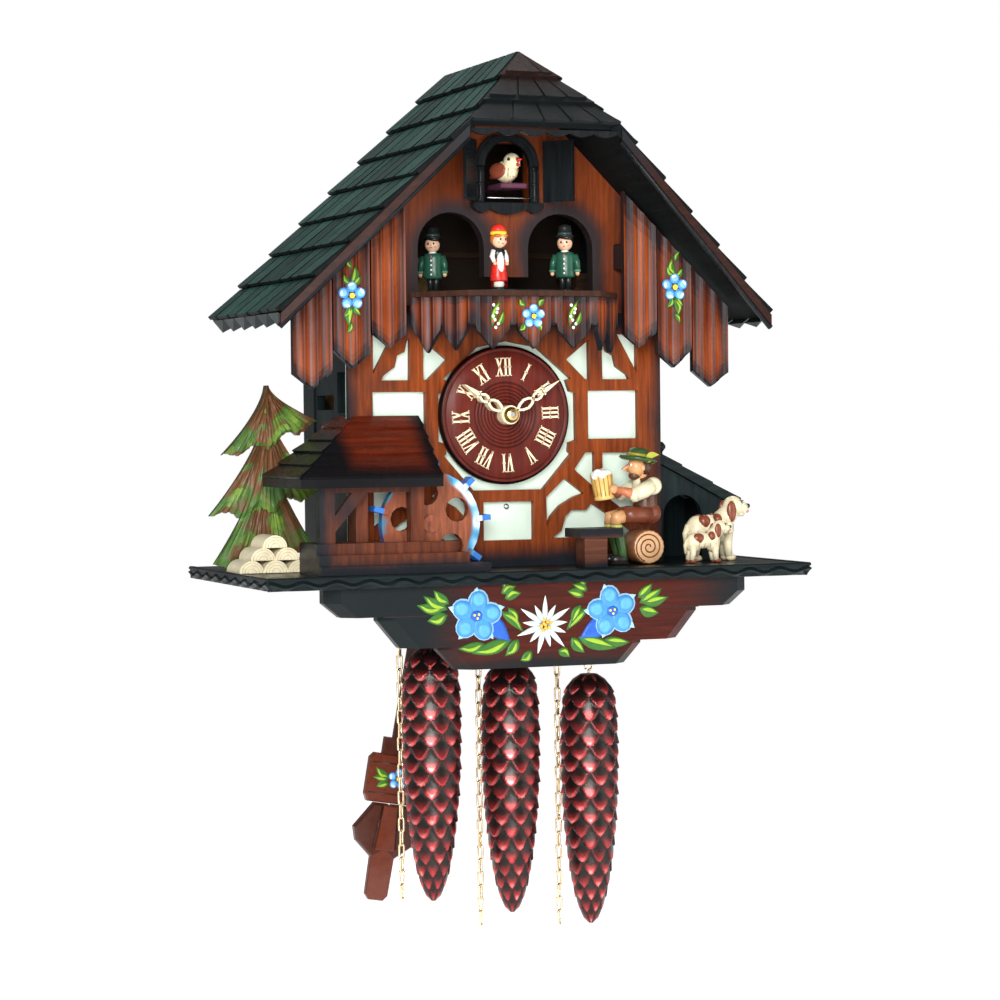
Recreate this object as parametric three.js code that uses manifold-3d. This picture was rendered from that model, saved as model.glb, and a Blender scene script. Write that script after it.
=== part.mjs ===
// Black Forest chalet cuckoo clock with dancers, water mill and beer drinker.
// Millimetres, +Z up, front towards -Y, wall at Y = 0.
// The origin is the point of the wall nail; the house is built around its shelf top and then lowered.

import * as THREE from 'three';
import { mergeVertices } from 'three/addons/utils/BufferGeometryUtils.js';
import Module from 'manifold-3d';

const wasm = await Module();
wasm.setup();

// ---------------------------------------------------------------------------
// Driving dimensions
// ---------------------------------------------------------------------------
const NAIL_Z = 225;            // nail height above the shelf top
const GAP = 0.3;               // clearance where a piece rests on a slope or a turned piece

const SHELF_HALF = 163;
const SHELF_DEPTH = 160;
const SHELF_THICK = 6.5;

const CASE_HALF = 92;          // outer face of the side boards
const CASE_WALL = 7;
const FACADE_HALF = 96.5;
const FACADE_FRONT = -100;
const FACADE_BACK = -96;       // fretwork sits in front of this plane, the backing board behind it
const BACKING_BACK = -92;
const DECK_BOTTOM = 146.3;
const DECK_TOP = 150.3;

const RIDGE_Z = 296.4;         // roof slopes fall at 45 degrees
const ROOF_THICK = 6.6;
const EAVE_X = 149.2;
const COURSES = 8;
const COURSE_STEP = 2.2;
const APEX_Y = -123;
const HIP_Y = -164;
const HIP_HALF = 45;
const VERGE_EAVE_Y = -142;

const DIAL_X = -3;             // the dial sits a little left of the centre line
const DIAL_Z = 87.5;
const DIAL_R = 40;
const DIAL_FRONT = -104.4;
const HOUR_ANGLE = -57;        // degrees clockwise from twelve
const MINUTE_ANGLE = 57.2;

const ARCH_X = 33.8;
const ARCH_HALF = 20.2;
const ARCH_SPRING = 183.5;
const DOORWAY_HALF = 14;
const DOORWAY_BOTTOM = 208.3;
const DOORWAY_TOP = 244;
const DOOR_HINGE_X = 20.9;
const DOOR_HINGE_Y = -107.2;
const DOOR_WIDTH = 19.8;
const DOOR_OPEN = 128;

const CAROUSEL_Y = -88.6;
const CAROUSEL_R = 44;
const CAROUSEL_Z = 155.5;
const CAROUSEL_THICK = 3;
const DANCER_R = 38.3;
const DANCER_PHASE = 21.3;     // the lady in front stands this far left of the centre line, degrees

const WING_FRONT = -116;
const WING_BACK = -111;
const BALCONY_FRONT = -143;
const BALCONY_HALF = 39;
const BALCONY_END_X = 63.5;
const BALCONY_END_Y = -114;
const BALCONY_TOP = 157.3;

const WHEEL_X = -54.5;
const WHEEL_Y = -116;
const WHEEL_Z = 26.5;
const WHEEL_RIM = 29.5;
const WHEEL_TIP = 35.5;
const PADDLES = 9;
const WHEEL_HOLES = 5;

const CHAIN_Y = -80;
const WEIGHT_X = { strike: -41.6, time: 7.4, music: 57.4 };
const WEIGHT_FROM_SPROCKET = 8.5;
const FREE_FROM_WEIGHT = 13.5; // the free strand hangs left of and behind its weight, clear of the cone
const FREE_Y = -65;
const SPROCKET_R = 6.8;
const GREAT_WHEEL_Z = 62;
const TRAINS = Object.keys(WEIGHT_X);
const trainX = (train) => WEIGHT_X[train] - WEIGHT_FROM_SPROCKET;
const WEIGHT_TIP = { strike: -194, time: -204, music: -214 };
const CHAIN_END = { strike: -195, time: -214, music: -217 };
const WEIGHT_LENGTH = 148;
const WEIGHT_STRAND_TOP = 140;
const FREE_STRAND_TOP = 4;
const CHAIN_WIDTH = 2.4;

const PENDULUM_Y = -30;
const PENDULUM_Z = 128;
const PENDULUM_TILT = 10;      // hangs swung to the left

const CUCKOO_Z = 217;

// ---------------------------------------------------------------------------
// Materials
// ---------------------------------------------------------------------------
const paint = (color, roughness = 0.5, metalness = 0) =>
  new THREE.MeshStandardMaterial({ color, roughness, metalness });

const STAINED_WOOD = paint(0x6b2c14, 0.45);
const DARK_WOOD = paint(0x221a17, 0.5);
const SHINGLE = paint(0x2c3533, 0.55);
const PANEL_WHITE = paint(0xdfece2, 0.6);
const DIAL_BROWN = paint(0x4c1710, 0.45);
const HAND_CREAM = paint(0xe8dcae, 0.4);
const BRASS = paint(0xb8923c, 0.3, 1);
const STEEL = paint(0x8d9093, 0.35, 1);
const CONE_IRON = paint(0x3a1a14, 0.5, 0.4);
const TREE_GREEN = paint(0x4c6a2c, 0.6);
const LOG_CREAM = paint(0xe6dcb8, 0.6);
const ANIMAL_CREAM = paint(0xe9dcb6, 0.5);
const COAT_GREEN = paint(0x1d4a35, 0.45);
const SKIRT_RED = paint(0xc22418, 0.45);
const BREECHES = paint(0x5b2d17, 0.5);
const SHIRT_CREAM = paint(0xe9e2c0, 0.5);
const WHEEL_WOOD = paint(0xa5522c, 0.5);
const BARE_WOOD = paint(0xb98b5a, 0.6);

// ---------------------------------------------------------------------------
// Shape helpers
// ---------------------------------------------------------------------------
const rad = THREE.MathUtils.degToRad;

function signedVolume(positions, index) {
  const a = new THREE.Vector3();
  const b = new THREE.Vector3();
  const c = new THREE.Vector3();
  let sum = 0;
  for (let i = 0; i < index.length; i += 3) {
    a.fromArray(positions, index[i] * 3);
    b.fromArray(positions, index[i + 1] * 3);
    c.fromArray(positions, index[i + 2] * 3);
    sum += a.dot(b.cross(c));
  }
  return sum;
}

// Turns a closed geometry into a solid for booleans, facing out whichever way it was drawn.
function solid(geometry) {
  geometry.deleteAttribute('normal');
  geometry.deleteAttribute('uv');
  const merged = mergeVertices(geometry, 1e-4);
  const positions = Float32Array.from(merged.attributes.position.array);
  const source = merged.index.array;
  const kept = [];
  for (let i = 0; i < source.length; i += 3) {
    const [p, q, r] = [source[i], source[i + 1], source[i + 2]];
    if (p !== q && q !== r && r !== p) kept.push(p, q, r);
  }
  if (signedVolume(positions, kept) < 0) {
    for (let i = 0; i < kept.length; i += 3) [kept[i + 1], kept[i + 2]] = [kept[i + 2], kept[i + 1]];
  }
  const triVerts = Uint32Array.from(kept);
  return new wasm.Manifold(new wasm.Mesh({ numProp: 3, vertProperties: positions, triVerts }));
}

const join = (...solids) => solids.flat().reduce((sum, next) => sum.add(next));
const cut = (body, ...tools) => tools.flat().reduce((rest, tool) => rest.subtract(tool), body);

function meshOf(name, material, body) {
  const data = body.getMesh();
  const geometry = new THREE.BufferGeometry();
  geometry.setAttribute('position', new THREE.BufferAttribute(Float32Array.from(data.vertProperties), 3));
  geometry.setIndex(new THREE.BufferAttribute(Uint32Array.from(data.triVerts), 1));
  const flat = geometry.toNonIndexed();
  flat.computeVertexNormals();
  const mesh = new THREE.Mesh(flat, material.clone());
  mesh.name = name;
  return mesh;
}

function box([x0, x1], [y0, y1], [z0, z1]) {
  const geometry = new THREE.BoxGeometry(x1 - x0, y1 - y0, z1 - z0);
  geometry.translate((x0 + x1) / 2, (y0 + y1) / 2, (z0 + z1) / 2);
  return solid(geometry);
}

function outline(points, holes = []) {
  const shape = new THREE.Shape(points.map(([a, b]) => new THREE.Vector2(a, b)));
  for (const hole of holes) {
    shape.holes.push(new THREE.Path(hole.map(([a, b]) => new THREE.Vector2(a, b))));
  }
  return shape;
}

const extruded = (shape, depth) =>
  new THREE.ExtrudeGeometry(shape, { depth, bevelEnabled: false, steps: 1 });

// Outline in (x, z), run from y0 to y1.
function slabY(points, [y0, y1], holes = []) {
  const geometry = extruded(outline(points, holes), y1 - y0);
  geometry.rotateX(Math.PI / 2);
  geometry.translate(0, y1, 0);
  return solid(geometry);
}

// Outline in (y, z), run from x0 to x1.
function slabX(points, [x0, x1]) {
  const geometry = extruded(outline(points), x1 - x0);
  const axes = new THREE.Matrix4().makeBasis(
    new THREE.Vector3(0, 1, 0), new THREE.Vector3(0, 0, 1), new THREE.Vector3(1, 0, 0));
  geometry.applyMatrix4(axes);
  geometry.translate(x0, 0, 0);
  return solid(geometry);
}

// Outline in (x, y), run from z0 to z1.
function slabZ(points, [z0, z1], holes = []) {
  const geometry = extruded(outline(points, holes), z1 - z0);
  geometry.translate(0, 0, z0);
  return solid(geometry);
}

// Sloping board over a convex plan outline: top corners [x, y, z], thickness measured straight down.
function slopedBoard(corners, thickness) {
  const count = corners.length;
  const positions = [];
  for (const [x, y, z] of corners) positions.push(x, y, z);
  for (const [x, y, z] of corners) positions.push(x, y, z - thickness);
  const index = [];
  for (let i = 1; i < count - 1; i += 1) {
    index.push(0, i, i + 1);
    index.push(count, count + i + 1, count + i);
  }
  for (let i = 0; i < count; i += 1) {
    const next = (i + 1) % count;
    index.push(i, count + i, count + next);
    index.push(i, count + next, next);
  }
  const geometry = new THREE.BufferGeometry();
  geometry.setAttribute('position', new THREE.Float32BufferAttribute(positions, 3));
  geometry.setIndex(index);
  return solid(geometry);
}

// Turned body: profile [radius, height] round the Z axis, moved to `at`.
function turnedZ(profile, at = [0, 0, 0], segments = 16) {
  const geometry = new THREE.LatheGeometry(profile.map(([r, h]) => new THREE.Vector2(r, h)), segments);
  geometry.rotateX(Math.PI / 2);
  geometry.translate(...at);
  return solid(geometry);
}

// Turned body round the Y axis: profile [radius, y].
function turnedY(profile, at = [0, 0, 0], segments = 18) {
  const geometry = new THREE.LatheGeometry(profile.map(([r, h]) => new THREE.Vector2(r, h)), segments);
  geometry.translate(...at);
  return solid(geometry);
}

const rodY = (radius, [y0, y1], x, z, segments = 12) =>
  turnedY([[0, y0], [radius, y0], [radius, y1], [0, y1]], [x, 0, z], segments);

const rodZ = (radius, [z0, z1], x, y, segments = 16) =>
  turnedZ([[0, z0], [radius, z0], [radius, z1], [0, z1]], [x, y, 0], segments);

function ellipsoid([x, y, z], [rx, ry, rz], segments = 8) {
  const geometry = new THREE.SphereGeometry(1, segments, Math.round(segments * 0.65));
  geometry.rotateX(Math.PI / 2);
  geometry.scale(rx, ry, rz);
  geometry.translate(x, y, z);
  return solid(geometry);
}

// Tapered round limb between two points.
function limb(from, to, r0, r1, segments = 7) {
  const start = new THREE.Vector3(...from);
  const end = new THREE.Vector3(...to);
  const axis = end.clone().sub(start);
  const geometry = new THREE.CylinderGeometry(r1, r0, axis.length(), segments);
  geometry.applyQuaternion(
    new THREE.Quaternion().setFromUnitVectors(new THREE.Vector3(0, 1, 0), axis.clone().normalize()));
  geometry.translate(...start.add(end).multiplyScalar(0.5).toArray());
  return solid(geometry);
}

function circle([x, z], radius, segments = 20) {
  const points = [];
  for (let i = 0; i < segments; i += 1) {
    const angle = (i / segments) * 2 * Math.PI;
    points.push([x + radius * Math.cos(angle), z + radius * Math.sin(angle)]);
  }
  return points;
}

const mirrored = (points, side) => points.map(([x, ...rest]) => [side * x, ...rest]);

const underRoof = (x) => RIDGE_Z - Math.abs(x) - ROOF_THICK * Math.SQRT2 - GAP;

// ---------------------------------------------------------------------------
// Roof
// ---------------------------------------------------------------------------
// Saw-tooth section of lapped courses: `point(along, lift)` maps slope coordinates to the section plane.
function shingleSection(point, ends) {
  const section = [];
  let start = 0;
  for (const end of ends) {
    section.push(point(start, -COURSE_STEP), point(end, 0));
    start = end;
  }
  section.push(point(start, -ROOF_THICK), point(0, -ROOF_THICK));
  return section;
}

function roofSlope(side) {
  const length = EAVE_X * Math.SQRT2;
  const ends = Array.from({ length: COURSES }, (_, i) => (length * (i + 1)) / COURSES);
  const point = (along, lift) =>
    [(side * (along + lift)) / Math.SQRT2, RIDGE_Z + (lift - along) / Math.SQRT2];
  const boards = slabY(shingleSection(point, ends), [HIP_Y - 10, 0]);
  const past = EAVE_X + 10;
  const vergeY = (x) => HIP_Y + ((x - HIP_HALF) * (VERGE_EAVE_Y - HIP_Y)) / (EAVE_X - HIP_HALF);
  const plan = [[0.05, 0], [past, 0], [past, vergeY(past)], [HIP_HALF, HIP_Y], [0.05, APEX_Y]];
  return boards.intersect(slabZ(mirrored(plan, side), [0, RIDGE_Z + 10]));
}

function roofHip() {
  const fall = new THREE.Vector2(HIP_Y - APEX_Y, -HIP_HALF);
  const length = fall.length();
  fall.normalize();
  const point = (along, lift) =>
    [APEX_Y + along * fall.x + lift * fall.y, RIDGE_Z + along * fall.y - lift * fall.x];
  const ends = [0.4, 0.75, 1].map((part) => part * length);
  const boards = slabX(shingleSection(point, ends), [-HIP_HALF * 1.3, HIP_HALF * 1.3]);
  const reach = 1.2;
  const front = APEX_Y + (HIP_Y - APEX_Y) * reach;
  const plan = [[0, APEX_Y - 0.2], [HIP_HALF * reach, front], [-HIP_HALF * reach, front]];
  return boards.intersect(slabZ(plan, [0, RIDGE_Z + 10]));
}

// ---------------------------------------------------------------------------
// Case
// ---------------------------------------------------------------------------
const VENT_Y = [-60, -20];
const VENT_Z = [72, 114];
const SIDE_SLOT_Y = [-80, -66];
const SIDE_SLOT_Z = [89.5, 113];

function caseSide(side) {
  const inner = CASE_HALF - CASE_WALL;
  const section = [[CASE_HALF, 0], [CASE_HALF, underRoof(CASE_HALF)], [inner, underRoof(inner)], [inner, 0]];
  const board = slabY(mirrored(section, side), [BACKING_BACK, 0]);
  const across = side > 0 ? [inner - 1, CASE_HALF + 1] : [-CASE_HALF - 1, -inner + 1];
  return cut(board, box(across, VENT_Y, VENT_Z), box(across, SIDE_SLOT_Y, SIDE_SLOT_Z));
}

// Inset side panel with its small sound window.
function sideVent(side) {
  const across = side > 0 ? [CASE_HALF - 5, CASE_HALF - 1] : [-CASE_HALF + 1, -CASE_HALF + 5];
  const through = [Math.min(...across) - 1, Math.max(...across) + 1];
  return cut(box(across, VENT_Y, VENT_Z), box(through, [-56, -24], [91.5, 100]));
}

// Openings of the half-timbered fretwork, right half.
const FRET_OPENINGS = [
  [[50.2, 73.1], [82, 73.1], [82, 101.1], [50.2, 101.1]],
  [[36.8, 119.4], [48.8, 107.8], [51.3, 108], [51.2, 130.8]],
  [[59.6, 107.8], [76.6, 107.8], [75.6, 110.3], [68.6, 115.2], [67.1, 121.7], [62.6, 124], [61.1, 130], [59.2, 132]],
  [[69, 134], [81.5, 111.4], [81.5, 134]],
  [[41.2, 55.4], [54.2, 44.5], [54.1, 65.2], [48.3, 65.1]],
  [[59.1, 41], [82, 24], [82, 64.9], [59.1, 64.9]],
  [[23.8, 21.9], [26.3, 28.3], [32.4, 34.7], [40.5, 39.2], [47.1, 41.4], [35.1, 50.4], [23.5, 39.5]],
  [[27.2, 15.8], [80, 15.8], [80, 17], [66.6, 26.1], [52, 35.7], [48.5, 31.6], [39.4, 31.8], [35.4, 28.1], [32.8, 19.9]],
];
// Notched octagon behind the dial, right half from the top down.
const DIAL_OCTAGON = [
  [18.5, 126.4], [39.7, 108.3], [36.7, 107.4], [38.9, 100.9], [42.4, 100], [42.6, 72.6],
  [38.3, 71.2], [37.8, 65.7], [39.3, 64.3], [21.5, 44.2],
];

function facadeFretwork() {
  const half = FACADE_HALF;
  const openings = FRET_OPENINGS.flatMap((points) => [points, mirrored(points, -1)]);
  openings.push([[0, 130], ...DIAL_OCTAGON, ...mirrored(DIAL_OCTAGON, -1).reverse()]);
  openings.push([[-15.5, 15.2], [15.5, 15.2], [15.5, 37.4], [-15.5, 37.4]]);
  const board = [[-half, 0], [half, 0], [half, DECK_BOTTOM], [-half, DECK_BOTTOM]];
  const through = [FACADE_FRONT - 1, FACADE_BACK + 1];
  return cut(slabY(board, [FACADE_FRONT, FACADE_BACK]), openings.map((points) => slabY(points, through)));
}

function facadeBacking() {
  const half = FACADE_HALF - 1;
  const holes = [circle([DIAL_X, DIAL_Z], 6), circle([WHEEL_X, WHEEL_Z], 2.2, 12)];
  const board = [[-half, 0], [half, 0], [half, DECK_BOTTOM], [-half, DECK_BOTTOM]];
  return slabY(board, [FACADE_BACK, BACKING_BACK], holes);
}

function archPoints(x) {
  const points = [[x - ARCH_HALF, 166.8], [x - ARCH_HALF, ARCH_SPRING]];
  const steps = 16;
  for (let i = 1; i < steps; i += 1) {
    const angle = Math.PI * (1 - i / steps);
    points.push([x + ARCH_HALF * Math.cos(angle), ARCH_SPRING + ARCH_HALF * Math.sin(angle)]);
  }
  points.push([x + ARCH_HALF, ARCH_SPRING], [x + ARCH_HALF, 166.8]);
  return points;
}

// Upper front board: two dancers' arches joined by the carousel slot, and the cuckoo's doorway.
function gableBoard() {
  const half = FACADE_HALF;
  const board = slabY(
    [[-half, DECK_BOTTOM], [half, DECK_BOTTOM], [half, underRoof(half)], [0, underRoof(0)], [-half, underRoof(half)]],
    [FACADE_FRONT, BACKING_BACK]);
  const through = [FACADE_FRONT - 1, BACKING_BACK + 1];
  const slotHalf = ARCH_X + ARCH_HALF;
  return cut(
    board,
    slabY(archPoints(ARCH_X), through),
    slabY(archPoints(-ARCH_X), through),
    box([-slotHalf, slotHalf], through, [DECK_BOTTOM - 1, 166.9]),
    box([-BALCONY_END_X, BALCONY_END_X], through, [DECK_BOTTOM - 1, DECK_TOP]),
    box([-DOORWAY_HALF, DOORWAY_HALF], through, [DOORWAY_BOTTOM, DOORWAY_TOP]));
}

function rearGable() {
  const half = CASE_HALF - CASE_WALL - GAP;
  return slabY([[-half, 186.3], [half, 186.3], [half, underRoof(half)], [0, underRoof(0)], [-half, underRoof(half)]],
    [-9, -2.2]);
}

function backPanel() {
  const half = CASE_HALF - CASE_WALL - GAP;
  return box([-half, half], [-6, -2], [2, 186]);
}

// Hanger plate with a keyhole: the nail head enters below and the shank rises to the origin.
function wallHanger() {
  const plate = [[-14, NAIL_Z - 14], [14, NAIL_Z - 14], [10, NAIL_Z + 8], [-10, NAIL_Z + 8]];
  const head = circle([0, NAIL_Z - 6], 4.5);
  const body = slabY(plate, [-2.2, -0.5], [head]);
  return cut(body, box([-1.8, 1.8], [-3, 0], [NAIL_Z - 6, NAIL_Z + 1.8]));
}

// ---------------------------------------------------------------------------
// Shelf and apron
// ---------------------------------------------------------------------------
function baseShelf() {
  const corner = 6;
  const plan = [
    [-SHELF_HALF, 0], [-SHELF_HALF, -SHELF_DEPTH + corner], [-SHELF_HALF + corner, -SHELF_DEPTH],
    [SHELF_HALF - corner, -SHELF_DEPTH], [SHELF_HALF, -SHELF_DEPTH + corner], [SHELF_HALF, 0],
  ];
  const holes = [];
  for (const train of TRAINS) {
    holes.push(circle([WEIGHT_X[train], CHAIN_Y], 3.6, 16));
    holes.push(circle([WEIGHT_X[train] - FREE_FROM_WEIGHT, FREE_Y], 3.6, 16));
  }
  const swing = 31;
  holes.push([
    [DIAL_X - swing, PENDULUM_Y - 5], [DIAL_X + swing, PENDULUM_Y - 5],
    [DIAL_X + swing, PENDULUM_Y + 5], [DIAL_X - swing, PENDULUM_Y + 5],
  ]);
  const dip = 27;
  holes.push([
    [WHEEL_X - dip, WHEEL_Y - 6.5], [WHEEL_X + dip, WHEEL_Y - 6.5],
    [WHEEL_X + dip, WHEEL_Y + 6.5], [WHEEL_X - dip, WHEEL_Y + 6.5],
  ]);
  return slabZ(plan, [-SHELF_THICK, 0], holes);
}

// Three stepped tiers with bevelled ends, hung under the front of the shelf.
const APRON_TIERS = [
  { top: -6.5, halfTop: 127.6, knee: -15, bottom: -23, halfBottom: 117.8, bevel: 8 },
  { top: -22.9, halfTop: 96.5, knee: -25.5, bottom: -41, halfBottom: 83.5, bevel: 9 },
  { top: -40.9, halfTop: 61.5, knee: -42.8, bottom: -54, halfBottom: 51, bevel: 8 },
];
const APRON_BACK = -140;
const APRON_FRONT = -154;
const APRON_BEVEL_Y = -147;

function apronTier({ top, halfTop, knee, bottom, halfBottom, bevel }) {
  const back = [
    [-halfTop, top], [-halfTop, knee], [-halfBottom, bottom], [halfBottom, bottom], [halfTop, knee], [halfTop, top],
  ];
  const full = slabY(back, [APRON_BEVEL_Y, APRON_BACK]);
  const slopeRun = halfTop - halfBottom;
  const front = [
    [-halfTop + bevel, top], [-halfTop + bevel, knee], [-halfTop + bevel + slopeRun, bottom],
    [halfTop - bevel - slopeRun, bottom], [halfTop - bevel, knee], [halfTop - bevel, top],
  ];
  return join(full, loft(back, APRON_BEVEL_Y, front, APRON_FRONT));
}

// Body between two outlines of equal corner count at two depths.
function loft(back, yBack, front, yFront) {
  const count = back.length;
  const positions = [];
  for (const [x, z] of back) positions.push(x, yBack, z);
  for (const [x, z] of front) positions.push(x, yFront, z);
  const index = [];
  for (let i = 1; i < count - 1; i += 1) {
    index.push(0, i, i + 1);
    index.push(count, count + i + 1, count + i);
  }
  for (let i = 0; i < count; i += 1) {
    const next = (i + 1) % count;
    index.push(i, count + i, count + next);
    index.push(i, count + next, next);
  }
  const geometry = new THREE.BufferGeometry();
  geometry.setAttribute('position', new THREE.Float32BufferAttribute(positions, 3));
  geometry.setIndex(index);
  return solid(geometry);
}

// ---------------------------------------------------------------------------
// Wing boards and balcony
// ---------------------------------------------------------------------------
function wingBoards(side) {
  const boards = [
    [67, 132], [75.3, 125.6], [87, 134.5], [88.6, 134.5], [88.6, 121.9], [98, 113.8], [109.4, 124.2],
    [110.4, 124.2], [110.4, 112], [122.3, 102.7], [133.5, 111.3], [133.5, underRoof(133.5)], [67, underRoof(67)],
  ];
  const batten = [[67, underRoof(67) - 18], [96, underRoof(96) - 18], [96, underRoof(96)], [67, underRoof(67)]];
  return join(
    slabY(mirrored(boards, side), [WING_FRONT, WING_BACK]),
    slabY(mirrored(batten, side), [WING_BACK, FACADE_FRONT]));
}

// Pointed balustrade boards along a line of the given length, drawn in (distance, z).
function pointedBoards(length, boards, gapBottom) {
  const points = [[0, DECK_BOTTOM - 4]];
  for (const [start, end] of boards) {
    points.push([start, gapBottom], [start, 135.4], [(start + end) / 2, 124.4], [end, 135.4], [end, gapBottom]);
  }
  points.push([length, DECK_BOTTOM - 4], [length, BALCONY_TOP - 3], [0, BALCONY_TOP - 3]);
  return points;
}

function balconyWall([x0, y0], [x1, y1], boards) {
  const length = Math.hypot(x1 - x0, y1 - y0);
  const thick = 4;
  const geometry = extruded(outline(pointedBoards(length, boards, 138)), thick);
  geometry.rotateX(Math.PI / 2);
  geometry.translate(0, thick, 0);
  geometry.rotateZ(Math.atan2(y1 - y0, x1 - x0));
  geometry.translate(x0, y0, 0);
  return solid(geometry);
}

function balcony() {
  const corners = [
    [-BALCONY_END_X, BALCONY_END_Y], [-BALCONY_HALF, BALCONY_FRONT],
    [BALCONY_HALF, BALCONY_FRONT], [BALCONY_END_X, BALCONY_END_Y],
  ];
  const [leftEnd, leftFront, rightFront, rightEnd] = corners;
  const inside = 60;
  const deck = [
    [-inside, -45], [-inside, FACADE_FRONT], [-BALCONY_END_X, FACADE_FRONT], ...corners,
    [BALCONY_END_X, FACADE_FRONT], [inside, FACADE_FRONT], [inside, -45],
  ];
  const rail = slabZ([
    [-BALCONY_END_X, BALCONY_END_Y], [-BALCONY_HALF - 1, BALCONY_FRONT - 1.5],
    [BALCONY_HALF + 1, BALCONY_FRONT - 1.5], [BALCONY_END_X, BALCONY_END_Y],
    [BALCONY_END_X - 7, BALCONY_END_Y], [BALCONY_HALF - 3, BALCONY_FRONT + 6],
    [-BALCONY_HALF + 3, BALCONY_FRONT + 6], [-BALCONY_END_X + 7, BALCONY_END_Y],
  ], [BALCONY_TOP - 3, BALCONY_TOP]);
  return join(
    slabZ(deck, [DECK_BOTTOM, DECK_TOP], [circle([0, CAROUSEL_Y], 3.4, 16)]),
    balconyWall(leftFront, rightFront, [[4.5, 24.5], [29, 49], [53.5, 73.5]]),
    balconyWall(leftEnd, leftFront, [[1.5, 18], [20, 36]]),
    balconyWall(rightFront, rightEnd, [[1.8, 17.8], [19.8, 36.3]]),
    rail);
}

// ---------------------------------------------------------------------------
// Dial, hands and movement
// ---------------------------------------------------------------------------
function dial() {
  const face = DIAL_FRONT;
  const groove = face + 0.8;
  const back = FACADE_FRONT;
  const bossRadius = 30;
  const profile = [
    [4.2, FACADE_BACK], [4.2, groove], [18, face], [36.2, face], [37, groove], [37.8, face],
    [DIAL_R, face + 1.6], [DIAL_R, back],
    [bossRadius, back], [bossRadius, FACADE_BACK], [4.2, FACADE_BACK],
  ];
  return turnedY(profile, [0, 0, 0], 44);
}

// Fretted wooden hand drawn pointing up, then turned to its hour.
function handOutline(length, bulge) {
  return [
    [-1.4, 4], [-3.2, length * 0.26], [-bulge, length * 0.42], [-3, length * 0.55], [-2.4, length * 0.68],
    [-3.4, length * 0.75], [-1.1, length * 0.82], [0, length], [1.1, length * 0.82], [3.4, length * 0.75],
    [2.4, length * 0.68], [3, length * 0.55], [bulge, length * 0.42], [3.2, length * 0.26], [1.4, 4],
  ];
}

function hand(length, bulge, bore, [y0, y1]) {
  const hub = slabY(circle([0, 0], 6.6), [y0, y1]);
  const blade = slabY(handOutline(length, bulge), [y0, y1]);
  const eye = rodY(1.3, [y0 - 1, y1 + 1], 0, length * 0.42, 12);
  const slot = slabY([[-1, length * 0.2], [1, length * 0.2], [0, length * 0.34]], [y0 - 1, y1 + 1]);
  return cut(join(hub, blade), rodY(bore, [y0 - 1, y1 + 1], 0, 0, 20), eye, slot);
}

function hourHand() {
  const blade = hand(32, 4.4, 2.1, [-110.6, -109.3]);
  const pipe = turnedY([[2.1, -109.4], [3.3, -109.4], [3.3, -94], [2.1, -94], [2.1, -109.4]]);
  return join(blade, pipe);
}

const minuteHand = () => hand(36, 3.8, 1.95, [-112.6, -111.4]);

const centreArbor = () => rodY(1.6, [-116, -47.5], 0, 0);

function handNut() {
  return turnedY([[1.75, -112.8], [4.4, -112.8], [4.6, -114], [3.2, -116], [1.75, -116.6], [1.75, -112.8]]);
}

const PLATE_X = [-70, 72];
const PLATE_Z = [44, 124];

function frontPlate() {
  const plate = box(PLATE_X, [-90.6, -89.1], PLATE_Z);
  const bores = TRAINS.map((train) => rodY(2, [-92, -88], trainX(train), GREAT_WHEEL_Z));
  return cut(plate, rodY(4.2, [-92, -88], DIAL_X, DIAL_Z), bores);
}

function backPlate() {
  const plate = box(PLATE_X, [-50, -48.5], PLATE_Z);
  const bores = TRAINS.map((train) => rodY(2, [-52, -48], trainX(train), GREAT_WHEEL_Z));
  bores.push(rodY(2, [-52, -48], DIAL_X, DIAL_Z));
  const pillars = [];
  for (const x of [PLATE_X[0] + 5, PLATE_X[1] - 5]) {
    for (const z of [PLATE_Z[0] + 5, PLATE_Z[1] - 5]) pillars.push(rodY(2.5, [-89.1, -49], x, z));
  }
  const cock = box([DIAL_X - 6, DIAL_X + 6], [-49, -33.5], [PENDULUM_Z - 10, PENDULUM_Z - 7]);
  const post = box([DIAL_X - 6, DIAL_X + 6], [-36, -33.5], [PENDULUM_Z - 10, PENDULUM_Z + 4]);
  const pin = rodY(1, [-34, -26.5], DIAL_X, PENDULUM_Z, 12);
  return join(cut(plate, bores), pillars, cock, post, pin);
}

// Great wheel, chain sprocket and arbor of one train.
function greatWheel() {
  return turnedY([
    [0, -91], [1.6, -91], [1.6, -83.4], [SPROCKET_R, -83], [SPROCKET_R - 1, CHAIN_Y], [SPROCKET_R, -77], [3, -76.6],
    [3, -72.6],
    [17, -72.6], [17, -70.6], [1.6, -70.6], [1.6, -47.5], [0, -47.5],
  ], [0, 0, 0], 20);
}

function musicBox() {
  const bed = box([24, 78], [-47.5, -35], [30, 34]);
  const drum = limb([27, -40, 41], [75, -40, 41], 6, 6, 20);
  const cheeks = [26, 73].map((x) => box([x, x + 3], [-45, -36.5], [33, 44]));
  const comb = box([30, 72], [-47.5, -45.5], [33, 46]);
  return join(bed, drum, cheeks, comb);
}

// Bird-call whistle: wooden pipe with a bellows on top.
function whistle(side) {
  const x = side > 0 ? [66, 83] : [-83, -66];
  const pipe = box(x, [-44, -26], [104, 164]);
  const bellowsTop = box(x, [-44, -14], [170, 172.5]);
  const fold = slabX([[-44, 164], [-26, 164], [-20, 170.2], [-44, 170.2]], [x[0] + 1, x[1] - 1]);
  return join(pipe, fold, bellowsTop);
}

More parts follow.
